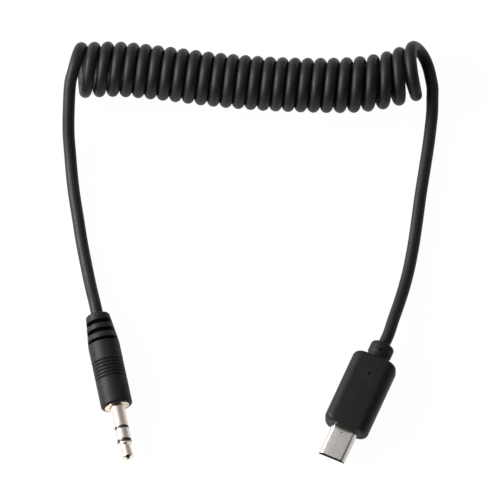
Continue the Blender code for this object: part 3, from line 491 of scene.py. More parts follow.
def wire_copper():
    finish = Finish("wire_copper", 0.3, metallic=1.0)
    finish.colour(finish.noise(0.5 * MM), (0.74, 0.36, 0.20), (0.84, 0.46, 0.28))
    strands = finish.stretched((1.0, 4.0, 4.0))
    finish.roughness(finish.noise(0.2 * MM, place=strands), 0.24, 0.36)
    return finish.bump(finish.noise(0.15 * MM, place=strands), 0.01 * MM).material


FINISHES = {
    "overmould_black": overmould_black(),
    "cord_black": cord_black(),
    "insulator_black": insulator_black(),
    "mould_natural": mould_natural(),
    "nickel": nickel(),
    "shell_plate": shell_plate(),
    "steel": steel(),
    "contact_gold": contact_gold(),
    "wire_red": wire_insulation("wire_red", (0.38, 0.020, 0.020), (0.50, 0.035, 0.035)),
    "wire_white": wire_insulation("wire_white", (0.64, 0.64, 0.62), (0.74, 0.74, 0.72)),
    "wire_copper": wire_copper(),
}


def dress_solids():
    """Every solid that stays gets the finish of its slot."""
    for subpart in frame["record"]["subparts"]:
        node = frame["nodes"][subpart["node"]]
        finish = FINISHES[subpart["material_slot"]]
        if not node.material_slots:
            node.data.materials.append(finish)
        for holder in node.material_slots:
            holder.material = finish


# ---------------------------------------------------------------- shapes

def as_object(name, bm):
    bmesh.ops.recalc_face_normals(bm, faces=bm.faces)
    mesh = bpy.data.meshes.new(name)
    bm.to_mesh(mesh)
    bm.free()
    item = bpy.data.objects.new(name, mesh)
    bpy.context.scene.collection.objects.link(item)
    return item


def arc(centre, radius, start, stop, steps=ARC_STEPS):
    """Points on a circle's arc, angles in degrees, both ends included."""
    points = []
    for step in range(steps + 1):
        angle = math.radians(start + (stop - start) * step / steps)
        points.append((centre[0] + radius * math.cos(angle), centre[1] + radius * math.sin(angle)))
    return points


def softened(corners, reach, closed=True, steps=EDGE_STEPS):
    """An outline whose corners are short curves that start and end at most this far from the corner."""
    points = []
    for index, corner in enumerate(corners):
        here = Vector(corner)
        if not closed and index in (0, len(corners) - 1):
            points.append(tuple(here))
            continue
        before = Vector(corners[index - 1]) - here
        after = Vector(corners[(index + 1) % len(corners)]) - here
        bite = min(reach, 0.4 * before.length, 0.4 * after.length)
        start = here + before.normalized() * bite
        stop = here + after.normalized() * bite
        for step in range(steps + 1):
            t = step / steps
            points.append(tuple(start * (1 - t) ** 2 + here * 2 * t * (1 - t) + stop * t ** 2))
    return points


def join_rings(bm, near, far):
    """Faces between two rings; a ring of one vertex is a point on the axis."""
    count = max(len(near), len(far))
    for i in range(count):
        j = (i + 1) % count
        if len(near) == 1:
            bm.faces.new((near[0], far[j], far[i]))
        elif len(far) == 1:
            bm.faces.new((near[i], near[j], far[0]))
        else:
            bm.faces.new((near[i], near[j], far[j], far[i]))


def turned(name, profile, steps=TURN_STEPS):
    """Turns a profile of (x, radius) points about the X axis; it closes on itself or ends on the axis."""
    bm = bmesh.new()
    rings = []
    for x, radius in profile:
        if radius == 0.0:
            rings.append([bm.verts.new((x, 0, 0))])
            continue
        ring = []
        for step in range(steps):
            angle = 2 * math.pi * step / steps
            ring.append(bm.verts.new((x, radius * math.cos(angle), radius * math.sin(angle))))
        rings.append(ring)
    closing = [] if profile[0][1] == 0.0 else rings[:1]
    for near, far in zip(rings, rings[1:] + closing):
        join_rings(bm, near, far)
    return as_object(name, bm)


def block(name, low, high):
    bm = bmesh.new()
    bmesh.ops.create_cube(bm, size=1.0)
    for vert in bm.verts:
        vert.co = Vector([low[i] if vert.co[i] < 0 else high[i] for i in range(3)])
    return as_object(name, bm)


def lofted(name, stations, capped=True):
    """A body through outlines, where a station is (x, list of (y, z) points).

    Uncapped, the last outline meets the first.
    """
    bm = bmesh.new()
    rings = [[bm.verts.new((x, y, z)) for y, z in outline] for x, outline in stations]
    following = rings[1:] if capped else rings[1:] + rings[:1]
    for near, far in zip(rings, following):
        join_rings(bm, near, far)
    if capped:
        bm.faces.new(rings[0])
        bm.faces.new(rings[-1])
    return as_object(name, bm)


def carve(item, cutter, operation="DIFFERENCE"):
    """Cuts or joins one shape by another for good, and removes the other."""
    modifier = item.modifiers.new(cutter.name, "BOOLEAN")
    modifier.operation = operation
    modifier.solver = "EXACT"
    modifier.object = cutter
    evaluated = item.evaluated_get(bpy.context.evaluated_depsgraph_get())
    carved = bpy.data.meshes.new_from_object(evaluated)
    item.modifiers.clear()
    item.data = carved
    bpy.data.objects.remove(cutter, do_unlink=True)
    return item


def smooth(item, sharp=SHARP):
    item.data.shade_smooth()
    item.data.set_sharp_from_angle(angle=sharp)
    return item


def measure_depth(item, depth_at):
    """Keeps on the mesh how deep in a recess each of its points is, for the finishes to paint shade by."""
    deep = item.data.attributes.new(DEEP, "FLOAT", "POINT")
    for vertex, entry in zip(item.data.vertices, deep.data):
        entry.value = depth_at(vertex.co)


def settle(item, place, body, slot, *nodes):
    """Lays a plug's piece in the plug's place, gives it its finish and hides the solids it stands for."""
    item.matrix_world = place
    item.data.materials.clear()
    item.data.materials.append(FINISHES[slot])
    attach(item, body)
    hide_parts(*nodes)
    return item


def plug_matrix(place, heading):
    return Matrix.Translation(place) @ Matrix.Rotation(heading, 4, "Z")


JACK_MATRIX = plug_matrix(JACK_PLACE, JACK_HEADING)
PLUG_MATRIX = plug_matrix(PLUG_PLACE, PLUG_HEADING)


# ---------------------------------------------------------------- view

def make_camera():
    data = bpy.data.cameras.new("camera")
    data.type = "PERSP"
    data.sensor_width = SENSOR_MM
    field = PHOTO_PIXELS / PIXELS_PER_MM * MM
    data.lens = SENSOR_MM * VIEW_DISTANCE / field
    data.clip_start = 0.1
    data.clip_end = 2 * VIEW_DISTANCE
    camera = bpy.data.objects.new("camera", data)
    bpy.context.scene.collection.objects.link(camera)
    back = Vector((0.0, -math.cos(VIEW_ELEVATION), math.sin(VIEW_ELEVATION)))
    camera.location = Vector(LOOK_AT) + back * VIEW_DISTANCE
    camera.rotation_euler = (-back).to_track_quat("-Z", "Y").to_euler()
    bpy.context.scene.camera = camera


# ---------------------------------------------------------------- cord

def smooth_value(knots, at):
    """A smooth curve's value at a parameter, through (parameter, vector) knots, by cubic Hermite pieces."""
    last = len(knots) - 1
    index = 0
    while index < last - 1 and at > knots[index + 1][0]:
        index += 1
    slopes = []
    for i in (index, index + 1):
        before = knots[max(i - 1, 0)]
        after = knots[min(i + 1, last)]
        slopes.append((after[1] - before[1]) / (after[0] - before[0]))
    (start, first), (stop, second) = knots[index], knots[index + 1]
    span = stop - start
    t = (at - start) / span
    return (first * (2 * t ** 3 - 3 * t ** 2 + 1) + second * (3 * t ** 2 - 2 * t ** 3)
            + slopes[0] * span * (t ** 3 - 2 * t ** 2 + t) + slopes[1] * span * (t ** 3 - t ** 2))


MIDDLE_KNOTS = [(at, Vector(place)) for at, place in COIL_MIDDLE]


def coil_turn(angle):
    return (TURN_START - angle) / 360


def coil_point(angle):
    """The cord's middle at an angle round the coil in degrees, falling as the cord winds towards +X."""
    turn = coil_turn(angle)
    middle = smooth_value(MIDDLE_KNOTS, turn) * MM
    radius = smooth_value(COIL_DIAMETER, turn) * MM / 2
    lean = math.radians(smooth_value(COIL_LEAN, turn))
    tip = math.radians(smooth_value(COIL_TIP, turn))
    forward = radius * math.cos(math.radians(angle))
    up = radius * math.sin(math.radians(angle))
    across = Vector((math.sin(lean), math.cos(lean)))
    along = Vector((math.cos(lean), -math.sin(lean)))
    level = middle + across * forward - along * up * math.sin(tip)
    return Vector((*level, radius + CORD_RADIUS + up * math.cos(tip)))


def route_from_coil(angle, direction, route, place, heading, rear):
    """Even points from the coil's end along a tail's route and straight into its plug."""
    guides = [coil_point(angle - direction * GUIDE_ANGLE * step) for step in (2, 1, 0)]
    leaving = (coil_point(angle + direction) - coil_point(angle - direction)).normalized()
    forward = Vector((math.cos(heading), math.sin(heading), 0))
    stop = Vector(place) + forward * (rear - CORD_SEAT)
    points = guides + [guides[-1] + leaving * CORD_DIAMETER]
    points += [Vector(point) * MM for point in route]
    points += [stop - forward * CORD_DIAMETER, stop]
    knots = [(0.0, points[0])]
    for point in points[1:]:
        knots.append((knots[-1][0] + (point - knots[-1][1]).length, point))
    start = knots[len(guides) - 1][0]
    total = knots[-1][0]
    count = round((total - start) / TAIL_RING_SPACING)
    return [smooth_value(knots, start + (total - start) * step / count) for step in range(1, count + 1)]


def stretch_share(turn, first, last):
    """The share of the coil's stretch that is taken up by this turn: steady, with a soft start and end."""
    done = turn - first
    left = last - turn
    turns = last - first - EASED_TURNS
    if done < EASED_TURNS:
        return done ** 2 / (2 * EASED_TURNS * turns)
    if left < EASED_TURNS:
        return 1 - left ** 2 / (2 * EASED_TURNS * turns)
    return (done - EASED_TURNS / 2) / turns


def cord_rings():
    """Every ring's middle from the jack to the camera plug, with its share of the coil's stretch."""
    last_angle = COIL_LAST_ANGLE - 360 * WHOLE_TURNS
    jack_tail = route_from_coil(COIL_FIRST_ANGLE, 1, JACK_TAIL_ROUTE, JACK_PLACE, JACK_HEADING, -JACK_LENGTH)
    plug_tail = route_from_coil(last_angle, -1, PLUG_TAIL_ROUTE, PLUG_PLACE, PLUG_HEADING,
                                -PLUG_LENGTH - NECK_LENGTH)
    rings = [(point, 0.0) for point in reversed(jack_tail)]
    first, last = coil_turn(COIL_FIRST_ANGLE), coil_turn(last_angle)
    count = round((last - first) * RINGS_PER_TURN)
    for step in range(count + 1):
        angle = COIL_FIRST_ANGLE + (last_angle - COIL_FIRST_ANGLE) * step / count
        rings.append((coil_point(angle), stretch_share(coil_turn(angle), first, last)))
    return rings + [(point, 1.0) for point in plug_tail]


def swept_tube(name, centres, radius, sides):
    """A round tube along its centres, untwisted, with flat ends."""
    bm = bmesh.new()
    rings = []
    side = Vector((0, 0, 1))
    for index, centre in enumerate(centres):
        ahead = centres[min(index + 1, len(centres) - 1)]
        behind = centres[max(index - 1, 0)]
        along = (ahead - behind).normalized()
        side = (side - along * side.dot(along)).normalized()
        other = along.cross(side)
        ring = []
        for step in range(sides):
            angle = 2 * math.pi * step / sides
            ring.append(bm.verts.new(centre + radius * (side * math.cos(angle) + other * math.sin(angle))))
        rings.append(ring)
    for near, far in zip(rings, rings[1:]):
        join_rings(bm, near, far)
    bm.faces.new(rings[0])
    bm.faces.new(rings[-1])
    return as_object(name, bm)


def make_cord():
    rings = cord_rings()
    centres = [centre for centre, share in rings]
    cord = smooth(swept_tube("release_cord", centres, CORD_RADIUS, CORD_SIDES), CORD_SHARP)
    cord.data.materials.append(FINISHES["cord_black"])
    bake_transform(cord, "jack_side", "camera_plug_side", start=centres[0], end=centres[-1])
    shares = cord.data.attributes["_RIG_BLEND"].data
    for index, (centre, share) in enumerate(rings):
        for vertex in range(index * CORD_SIDES, (index + 1) * CORD_SIDES):
            shares[vertex].value = share
    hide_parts("cord_jack_tail", "cord_coil", "cord_camera_tail")


# ---------------------------------------------------------------- jack plug

def soft_step(value):
    value = min(max(value, 0.0), 1.0)
    return value * value * (3 - 2 * value)


def slot_gate(angle):
    """How far a strain relief slot has deepened at this angle round the jack: 0 outside it, 1 within."""
    offset = (angle - SLOT_MIDDLE + math.pi / 2) % math.pi - math.pi / 2
    return soft_step((SLOT_SPAN / 2 - abs(offset)) / SLOT_RUNOUT)


def jack_stations():
    """Stations along the overmould's outside: (x, radius, share of the slots' depth)."""
    rear = -JACK_LENGTH
    fillet_middle = (rear + JACK_REAR_FILLET, JACK_REAR_RADIUS - JACK_REAR_FILLET)
    stations = [(x, radius, 0.0) for x, radius in arc(fillet_middle, JACK_REAR_FILLET, 180, 100)]
    taper_x, taper_radius, _ = stations[-1]
    taper_end = rear + JACK_TAPER_LENGTH

    def taper(x):
        share = (x - taper_x) / (taper_end - taper_x)
        return min(taper_radius + (JACK_RADIUS - taper_radius) * share, JACK_RADIUS)

    for start_from_rear, width in SLOTS:
        near = rear + start_from_rear
        far = near + width
        for at, share in SLOT_EDGE:
            stations.append((near + at * SLOT_LIP, taper(near + at * SLOT_LIP), share))
        for at, share in reversed(SLOT_EDGE):
            stations.append((far - at * SLOT_LIP, taper(far - at * SLOT_LIP), share))
    for step in range(TAPER_END_STEPS + 1):
        x = taper_end + step * TAPER_END_SPACING
        stations.append((x, taper(x) - TAPER_END_DROP * (TAPER_END_STEPS - step), 0.0))
    for index in range(GROOVE_COUNT):
        middle = rear + GROOVE_FIRST + index * GROOVE_PITCH + GROOVE_WIDTH / 2
        half = GROOVE_WIDTH / 2 + GROOVE_SPREAD
        for step in range(ARC_STEPS + 1):
            at = 2 * step / ARC_STEPS - 1
            dip = GROOVE_DEPTH * (0.5 + 0.5 * math.cos(math.pi * at)) ** GROOVE_ROUNDNESS
            stations.append((middle + at * half, JACK_RADIUS - dip, 0.0))
    stations += [(x, radius, 0.0) for x, radius in
                 arc((-JACK_FRONT_FILLET, JACK_RADIUS - JACK_FRONT_FILLET), JACK_FRONT_FILLET, 90, 0)]
    return stations


def jack_overmould():
    """A closed body: the outside with its slots and grooves, the collar's seat, the cavity and the bore."""
    bm = bmesh.new()
    deep = bm.verts.layers.float.new(DEEP)
    floor = CORD_BORE + SLOT_FLOOR_WALL
    angles = [2 * math.pi * step / JACK_STEPS for step in range(JACK_STEPS)]
    rings = []
    for x, radius, slot_share in jack_stations():
        ring = []
        for angle in angles:
            share = slot_share * slot_gate(angle)
            here = radius - (radius - floor) * share
            vertex = bm.verts.new((x, here * math.cos(angle), here * math.sin(angle)))
            # how deep in a slot this point is, which sets the painted shade there
            vertex[deep] = min(1.0, SLOT_SHADE * share)
            ring.append(vertex)
        rings.append(ring)
    seat = -COLLAR_DEPTH - JOINT_FIT
    mouth = COLLAR_RADIUS + MOULD_FIT
    inside = [(0.0, mouth + MOULD_EDGE), (-MOULD_EDGE, mouth), (seat, mouth), (seat, JACK_CAVITY_RADIUS),
              (-JACK_CAVITY_LENGTH, JACK_CAVITY_RADIUS), (-JACK_CAVITY_LENGTH, CORD_BORE),
              (-JACK_LENGTH + MOULD_EDGE, CORD_BORE), (-JACK_LENGTH, CORD_BORE + MOULD_EDGE)]
    for x, radius in inside:
        rings.append([bm.verts.new((x, radius * math.cos(angle), radius * math.sin(angle)))
                      for angle in angles])
    for near, far in zip(rings, rings[1:] + rings[:1]):
        join_rings(bm, near, far)
    body = smooth(as_object("jack_overmould_fine", bm))
    settle(body, JACK_MATRIX, "jack_side", "overmould_black", "jack_overmould")


SLEEVE_BORE = SHAFT_RADIUS - SLEEVE_WALL
RING_INSULATOR_OUT = SLEEVE_BORE - JOINT_FIT
RING_INSULATOR_IN = RING_INSULATOR_OUT - INSULATOR_WALL
RING_TUBE_OUT = RING_INSULATOR_IN - JOINT_FIT
RING_TUBE_IN = RING_TUBE_OUT - RING_TUBE_WALL
TIP_INSULATOR_OUT = RING_TUBE_IN - JOINT_FIT
TIP_INSULATOR_IN = TIP_INSULATOR_OUT - INSULATOR_WALL
TIP_ROD = TIP_INSULATOR_IN - JOINT_FIT
BARREL_REAR = -COLLAR_DEPTH - BARREL_LENGTH
SLEEVE_REAR = BARREL_REAR - BARREL_NECK_LENGTH
RING_INSULATOR_REAR = SLEEVE_REAR - RING_INSULATOR_BACK
RING_REAR = RING_INSULATOR_REAR - RING_TUBE_BACK
TIP_INSULATOR_REAR = RING_REAR - TIP_INSULATOR_BACK
TIP_REAR = TIP_INSULATOR_REAR - TIP_ROD_BACK


def jack_metal_piece(name, node, profile, slot, closed=True):
    item = smooth(turned(name, softened(profile, METAL_EDGE, closed)))
    settle(item, JACK_MATRIX, "jack_side", slot, node)


def jack_sleeve():
    face = COLLAR_PROUD
    end = face + SLEEVE_LENGTH
    profile = [
        (SLEEVE_REAR, SLEEVE_BORE), (SLEEVE_REAR, BARREL_NECK_RADIUS), (BARREL_REAR, BARREL_NECK_RADIUS),
        (BARREL_REAR, BARREL_RADIUS), (-COLLAR_DEPTH, BARREL_RADIUS), (-COLLAR_DEPTH, COLLAR_RADIUS),
        (face, COLLAR_RADIUS), (face, SHAFT_RADIUS + SHAFT_RELIEF_WIDTH),
        (face - SHAFT_RELIEF_DEPTH, SHAFT_RADIUS + SHAFT_RELIEF_WIDTH),
        (face - SHAFT_RELIEF_DEPTH, SHAFT_RADIUS), (end, SHAFT_RADIUS), (end, SLEEVE_BORE),
    ]
    jack_metal_piece("jack_sleeve_fine", "jack_sleeve", profile, "nickel")


def jack_poles():
    """The ring, the tip and the two black insulators between the poles."""
    ring_start = COLLAR_PROUD + RING_START
    ring_end = ring_start + RING_LENGTH
    tip_start = COLLAR_PROUD + TIP_START
    near = COLLAR_PROUD + SLEEVE_LENGTH + JOINT_FIT
    far = ring_start - JOINT_FIT
    profile = [(RING_INSULATOR_REAR, RING_INSULATOR_IN), (RING_INSULATOR_REAR, RING_INSULATOR_OUT),
               (near, RING_INSULATOR_OUT), (near, SHAFT_RADIUS), (far, SHAFT_RADIUS),
               (far, RING_INSULATOR_IN)]
    jack_metal_piece("jack_ring_insulator_fine", "jack_ring_insulator", profile, "insulator_black")
    profile = [(RING_REAR, RING_TUBE_IN), (RING_REAR, RING_TUBE_OUT), (ring_start, RING_TUBE_OUT),
               (ring_start, SHAFT_RADIUS), (ring_end, SHAFT_RADIUS), (ring_end, RING_TUBE_IN)]
    jack_metal_piece("jack_ring_fine", "jack_ring", profile, "nickel")
    near = ring_end + JOINT_FIT
    far = tip_start - JOINT_FIT
    profile = [(TIP_INSULATOR_REAR, TIP_INSULATOR_IN), (TIP_INSULATOR_REAR, TIP_INSULATOR_OUT),
               (near, TIP_INSULATOR_OUT), (near, SHAFT_RADIUS), (far, SHAFT_RADIUS), (far, TIP_INSULATOR_IN)]
    jack_metal_piece("jack_tip_insulator_fine", "jack_tip_insulator", profile, "insulator_black")


def jack_tip():
    start = COLLAR_PROUD + TIP_START
    neck = start + TIP_COLLAR_LENGTH
    end = COLLAR_PROUD + SHAFT_LENGTH
    nose = end - TIP_NOSE_LENGTH
    slope = (TIP_COLLAR_RADIUS - TIP_NECK_RADIUS) / 2
    profile = [
        (TIP_REAR, 0.0), (TIP_REAR, TIP_ROD), (start, TIP_ROD), (start, TIP_COLLAR_RADIUS),
        (neck, TIP_COLLAR_RADIUS), (neck + slope, TIP_NECK_RADIUS), (nose, TIP_HEAD_RADIUS),
        (nose + TIP_SHOULDER_LENGTH, TIP_SHOULDER_RADIUS), (end, TIP_END_RADIUS), (end, 0.0),
    ]
    jack_metal_piece("jack_tip_fine", "jack_tip", profile, "nickel", closed=False)


# ---------------------------------------------------------------- camera plug

def rounded_outline(half_width, half_height, radius):
    points = []
    for sign_y, sign_z, start in ((1, 1, 0), (-1, 1, 90), (-1, -1, 180), (1, -1, 270)):
        centre = (sign_y * (half_width - radius), sign_z * (half_height - radius))
        points += arc(centre, radius, start, start + 90)
    return points


def end_stations(end, inward):
    """Stations of the overmould's rounded end, from its flat face inwards."""
    stations = []
    for step in range(ARC_STEPS + 1):
        angle = math.radians(90 * step / ARC_STEPS)
        along = PLUG_CORNER_RADIUS * (1 - math.cos(angle))
        inset = 1 - math.sin(angle)
        drop = PLUG_END_FILLET * inset
        outline = rounded_outline(PLUG_WIDTH / 2 - PLUG_CORNER_RADIUS * inset, PLUG_THICKNESS / 2 - drop,
                                  PLUG_EDGE_RADIUS - drop)
        stations.append((end + inward * along, outline))
    return stations


def plug_neck():
    rear = -PLUG_LENGTH - NECK_LENGTH
    waist_rear = -PLUG_LENGTH - NECK_WAIST_LENGTH
    buried = -PLUG_LENGTH + PLUG_REAR_WALL / 2
    high = NECK_BULGE_RADIUS - NECK_FILLET
    profile = [(rear, 0.0)]
    profile += arc((rear + NECK_FILLET, high), NECK_FILLET, 180, 90)
    profile += arc((waist_rear - NECK_FILLET, high), NECK_FILLET, 90, NECK_SHOULDER_ANGLE)
    profile += [(waist_rear + NECK_WAIST_LENGTH / 2, NECK_WAIST_RADIUS), (buried, NECK_WAIST_RADIUS),
                (buried, 0.0)]
    return turned("plug_neck", profile)


def shell_outline(grow=0.0, corner=0.0):
    """The shell's section: square lower sides, sloping upper ones.  Growing moves every side outwards."""
    slope_in = (SHELL_WIDTH - SHELL_TOP_WIDTH) / 2
    slope_up = SHELL_HEIGHT - SHELL_SIDE_HEIGHT
    length = math.hypot(slope_in, slope_up)
    normal_y, normal_z = slope_up / length, slope_in / length
    half = SHELL_WIDTH / 2 + grow
    low = -SHELL_HEIGHT / 2 - grow
    side = -SHELL_HEIGHT / 2 + SHELL_SIDE_HEIGHT + grow * (1 - normal_y) / normal_z
    top_half = SHELL_TOP_WIDTH / 2 + grow * (1 - normal_z) / normal_y
    top = SHELL_HEIGHT / 2 + grow
    corners = [(half, low), (half, side), (top_half, top), (-top_half, top), (-half, side), (-half, low)]
    return softened(corners, corner, steps=6) if corner else corners


def camera_plug_overmould():
    stations = end_stations(-PLUG_LENGTH, 1) + list(reversed(end_stations(0.0, -1)))
    body = lofted("camera_plug_overmould_fine", stations)
    carve(body, plug_neck(), "UNION")
    cavity_rear = -PLUG_LENGTH + PLUG_REAR_WALL
    side = PLUG_WIDTH / 2 - PLUG_WALL
    height = PLUG_THICKNESS / 2 - PLUG_WALL
    carve(body, block("cavity", (cavity_rear, -side, -height), (-PLUG_FRONT_WALL, side, height)))
    bore_rear = -PLUG_LENGTH - NECK_LENGTH - CUT
    carve(body, turned("bore", [(bore_rear, 0.0), (bore_rear, CORD_BORE), (cavity_rear + CUT, CORD_BORE),
                                (cavity_rear + CUT, 0.0)]))
    slot = shell_outline(MOULD_FIT)
    carve(body, lofted("shell_slot", [(-PLUG_FRONT_WALL - CUT, slot), (CUT, slot)]))
    for name, x, surface in (("body_pit", -PLUG_LENGTH + BODY_PIT_FROM_REAR, PLUG_THICKNESS / 2),
                             ("neck_pit", -PLUG_LENGTH - NECK_PIT_FROM_BODY, NECK_BULGE_RADIUS)):
        carve(body, pit(name, x, surface))
    settle(smooth(body), PLUG_MATRIX, "camera_plug_side", "overmould_black", "camera_plug_overmould")


def pit(name, x, surface):
    bm = bmesh.new()
    depth = PIT_DEPTH + CUT
    bmesh.ops.create_cone(bm, cap_ends=True, segments=PIT_STEPS, radius1=PIT_RADIUS,
                          radius2=PIT_RADIUS, depth=depth)
    bmesh.ops.translate(bm, vec=(x, PIT_OFFSET, surface - PIT_DEPTH + depth / 2), verts=bm.verts)
    return as_object(name, bm)


def pressed(name, outline, depth):
    """A cutter for a mark in the shell's top: an (x, y) outline, this deep."""
    bm = bmesh.new()
    low, high = SHELL_HEIGHT / 2 - depth, SHELL_HEIGHT / 2 + CUT
    face = bm.faces.new([bm.verts.new((x, y, low)) for x, y in outline])
    moved = bmesh.ops.extrude_face_region(bm, geom=[face])["geom"]
    new_verts = [element for element in moved if isinstance(element, bmesh.types.BMVert)]
    bmesh.ops.translate(bm, vec=(0, 0, high - low), verts=new_verts)
    return as_object(name, bm)


def seam_outline():
    """A thin strip that steps from side to side along the shell's top."""
    middles = []
    for tooth in range(SEAM_TEETH):
        side = SEAM_STEP if tooth % 2 else -SEAM_STEP
        start = SEAM_START + tooth * SEAM_TOOTH
        middles += [(start, side), (start + SEAM_STRAIGHT * SEAM_TOOTH, side)]
    near_side = [(x, y - SEAM_WIDTH / 2) for x, y in middles]
    far_side = [(x, y + SEAM_WIDTH / 2) for x, y in middles]
    return near_side + far_side[::-1]


def notch_outline():
    tip = NOTCH_START + NOTCH_LENGTH
    return [(NOTCH_START, NOTCH_SIDE - NOTCH_HALF_WIDTH), (tip, NOTCH_SIDE),
            (NOTCH_START, NOTCH_SIDE + NOTCH_HALF_WIDTH),
            (NOTCH_START, NOTCH_SIDE + NOTCH_HALF_WIDTH - NOTCH_STROKE), (tip - NOTCH_STROKE, NOTCH_SIDE),
            (NOTCH_START, NOTCH_SIDE - NOTCH_HALF_WIDTH + NOTCH_STROKE)]


def depth_in_shell(place):
    """1 on the shell's inner faces and in a deep mark, 0 on its outer faces: where the shell's painted shade
    falls.
    """
    slope_in = (SHELL_WIDTH - SHELL_TOP_WIDTH) / 2
    slope_up = SHELL_HEIGHT - SHELL_SIDE_HEIGHT
    above_side = place.z + SHELL_HEIGHT / 2 - SHELL_SIDE_HEIGHT
    from_side = SHELL_WIDTH / 2 - abs(place.y)
    from_slope = (from_side * slope_up - above_side * slope_in) / math.hypot(slope_in, slope_up)
    below = min(SHELL_HEIGHT / 2 - abs(place.z), from_side, from_slope)
    return soft_step((below / SHELL_LIP - DEEP_FROM) / (DEEP_TO - DEEP_FROM))


def camera_plug_shell():
    """A folded shell with a flared mouth, rounded edges, two latch windows, a seam and a notch."""
    rear, front = -SHELL_BURIED, SHELL_EXPOSED
    turn = front - SHELL_RIM
    lip = SHELL_LIP - 2 * SHELL_RIM

    def outside(shrink=0.0):
        return shell_outline(-shrink, SHELL_CORNER)

    def inside(wall):
        return shell_outline(-wall, SHELL_CORNER / 2)

    stations = [(rear, outside()), (turn, outside())]
    for step in range(1, EDGE_STEPS + 1):
        angle = math.radians(90 * step / EDGE_STEPS)
        stations.append((turn + SHELL_RIM * math.sin(angle), outside(SHELL_RIM * (1 - math.cos(angle)))))
    for step in range(EDGE_STEPS, -1, -1):
        angle = math.radians(90 * step / EDGE_STEPS)
        wall = SHELL_RIM + lip + SHELL_RIM * math.cos(angle)
        stations.append((turn + SHELL_RIM * math.sin(angle), inside(wall)))
    stations += [(front - SHELL_FLARE, inside(SHELL_WALL)), (rear, inside(SHELL_WALL))]
    shell = lofted("camera_plug_shell_fine", stations, capped=False)
    near = HOOK_START - HOOK_FIT
    far = HOOK_START + HOOK_LENGTH + HOOK_FIT
    half = LATCH_WIDTH / 2 + HOOK_FIT
    floor = -SHELL_HEIGHT / 2 + SHELL_WALL + MOULD_FIT
    for name, side in (("window_left", -1), ("window_right", 1)):
        middle = side * LATCH_OFFSET
        carve(shell, block(name, (near, middle - half, -SHELL_HEIGHT), (far, middle + half, floor)))
    carve(shell, pressed("seam", seam_outline(), SEAM_DEPTH))
    carve(shell, pressed("notch", notch_outline(), NOTCH_DEPTH))
    # the shell's inside and its marks get painted shade from this measure
    measure_depth(shell, depth_in_shell)
    settle(smooth(shell, SHELL_SHARP), PLUG_MATRIX, "camera_plug_side", "shell_plate", "camera_plug_shell")


# ---------------------------------------------------------------- floor and light

def mirrored_ray(nodes, links, path):
    """1 for the rays that are reflected or pass through something, 0 for the others."""
    mirrored = nodes.new("ShaderNodeMath")
    mirrored.operation = "MAXIMUM"
    links.new(path.outputs["Is Glossy Ray"], mirrored.inputs[0])
    links.new(path.outputs["Is Transmission Ray"], mirrored.inputs[1])
    return mirrored.outputs[0]


def stage_material():
    """Nearly white to the camera, with a faint shadow; partly white in reflections; paper to the light."""
    material = bpy.data.materials.new("floor")
    material.use_nodes = True
    nodes = material.node_tree.nodes
    links = material.node_tree.links
    nodes.clear()
    path = nodes.new("ShaderNodeLightPath")
    dimmed = nodes.new("ShaderNodeMath")
    dimmed.operation = "MULTIPLY"
    dimmed.inputs[1].default_value = FLOOR_MIRRORED
    links.new(mirrored_ray(nodes, links, path), dimmed.inputs[0])
    share = nodes.new("ShaderNodeMath")
    share.operation = "MULTIPLY_ADD"
    share.inputs[1].default_value = FLOOR_SEEN
    links.new(path.outputs["Is Camera Ray"], share.inputs[0])
    links.new(dimmed.outputs[0], share.inputs[2])
    paper = nodes.new("ShaderNodeBsdfDiffuse")
    paper.inputs["Color"].default_value = (PAPER_GREY, PAPER_GREY, PAPER_GREY, 1.0)
    white = nodes.new("ShaderNodeEmission")
    white.inputs["Strength"].default_value = 1.0
    mix = nodes.new("ShaderNodeMixShader")
    links.new(share.outputs[0], mix.inputs["Fac"])
    links.new(paper.outputs["BSDF"], mix.inputs[1])
    links.new(white.outputs["Emission"], mix.inputs[2])
    output = nodes.new("ShaderNodeOutputMaterial")
    links.new(mix.outputs["Shader"], output.inputs["Surface"])
    return material


def make_floor():
    bm = bmesh.new()
    bmesh.ops.create_grid(bm, x_segments=1, y_segments=1, size=FLOOR_HALF_SIDE)
    floor = as_object("floor", bm)
    floor.location.z = -FLOOR_GAP
    floor.data.materials.append(stage_material())


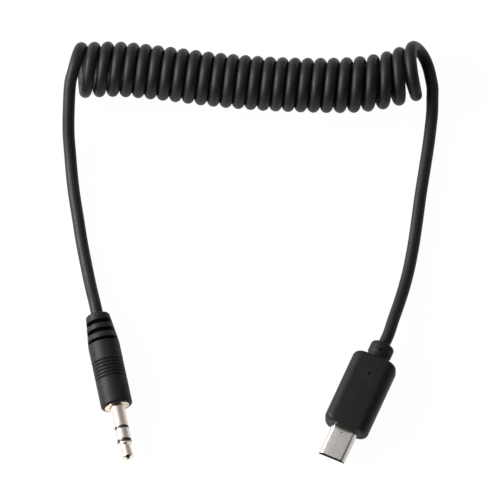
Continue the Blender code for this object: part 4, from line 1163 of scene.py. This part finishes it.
def make_world():
    world = bpy.data.worlds.new("studio")
    bpy.context.scene.world = world
    world.use_nodes = True
    nodes = world.node_tree.nodes
    links = world.node_tree.links
    nodes.clear()
    path = nodes.new("ShaderNodeLightPath")
    direction = nodes.new("ShaderNodeTexCoord")
    parts = nodes.new("ShaderNodeSeparateXYZ")
    links.new(direction.outputs["Generated"], parts.inputs["Vector"])
    tints = []
    for axis, stops in (("Y", SKY_BY_DEPTH), ("X", [(at, (share,) * 3) for at, share in SKY_BY_SIDE])):
        spread = nodes.new("ShaderNodeMapRange")
        spread.inputs["From Min"].default_value = -1.0
        links.new(parts.outputs[axis], spread.inputs["Value"])
        ramp = nodes.new("ShaderNodeValToRGB")
        while len(ramp.color_ramp.elements) < len(stops):
            ramp.color_ramp.elements.new(1.0)
        for stop, (position, colour) in zip(ramp.color_ramp.elements, stops):
            stop.position = position
            stop.color = (*colour, 1.0)
        links.new(spread.outputs["Result"], ramp.inputs["Fac"])
        tints.append(ramp.outputs["Color"])
    mirrored_sky = nodes.new("ShaderNodeMixRGB")
    mirrored_sky.blend_type = "MULTIPLY"
    mirrored_sky.inputs["Fac"].default_value = 1.0
    links.new(tints[0], mirrored_sky.inputs["Color1"])
    links.new(tints[1], mirrored_sky.inputs["Color2"])
    backgrounds = []
    for strength in (SKY_DIFFUSE, SKY_MIRRORED, SKY_SEEN):
        background = nodes.new("ShaderNodeBackground")
        background.inputs["Strength"].default_value = strength
        backgrounds.append(background)
    links.new(mirrored_sky.outputs["Color"], backgrounds[1].inputs["Color"])
    lower = nodes.new("ShaderNodeMixShader")
    links.new(mirrored_ray(nodes, links, path), lower.inputs["Fac"])
    links.new(backgrounds[0].outputs["Background"], lower.inputs[1])
    links.new(backgrounds[1].outputs["Background"], lower.inputs[2])
    upper = nodes.new("ShaderNodeMixShader")
    links.new(path.outputs["Is Camera Ray"], upper.inputs["Fac"])
    links.new(lower.outputs["Shader"], upper.inputs[1])
    links.new(backgrounds[2].outputs["Background"], upper.inputs[2])
    output = nodes.new("ShaderNodeOutputWorld")
    links.new(upper.outputs["Shader"], output.inputs["Surface"])


def softbox(name, direction, distance, width, height, watts):
    """A rectangular lamp that looks at the object's middle and that the camera doesn't see."""
    data = bpy.data.lights.new(name, "AREA")
    data.shape = "RECTANGLE"
    data.size = width
    data.size_y = height
    data.energy = watts
    lamp = bpy.data.objects.new(name, data)
    bpy.context.scene.collection.objects.link(lamp)
    towards = Vector(direction).normalized()
    lamp.location = Vector(LOOK_AT) + towards * distance
    lamp.rotation_euler = (-towards).to_track_quat("-Z", "Y").to_euler()
    lamp.visible_camera = False


def make_lights():
    softbox("left_box", LAMP_DIRECTION, LAMP_DISTANCE, LAMP_WIDTH, LAMP_HEIGHT, LAMP_WATTS)


# ---------------------------------------------------------------- all

def main():
    bpy.context.scene.view_settings.view_transform = "Standard"
    make_camera()
    make_cord()
    dress_solids()
    jack_overmould()
    jack_sleeve()
    jack_poles()
    jack_tip()
    camera_plug_overmould()
    camera_plug_shell()
    make_floor()
    make_world()
    make_lights()
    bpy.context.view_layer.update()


main()
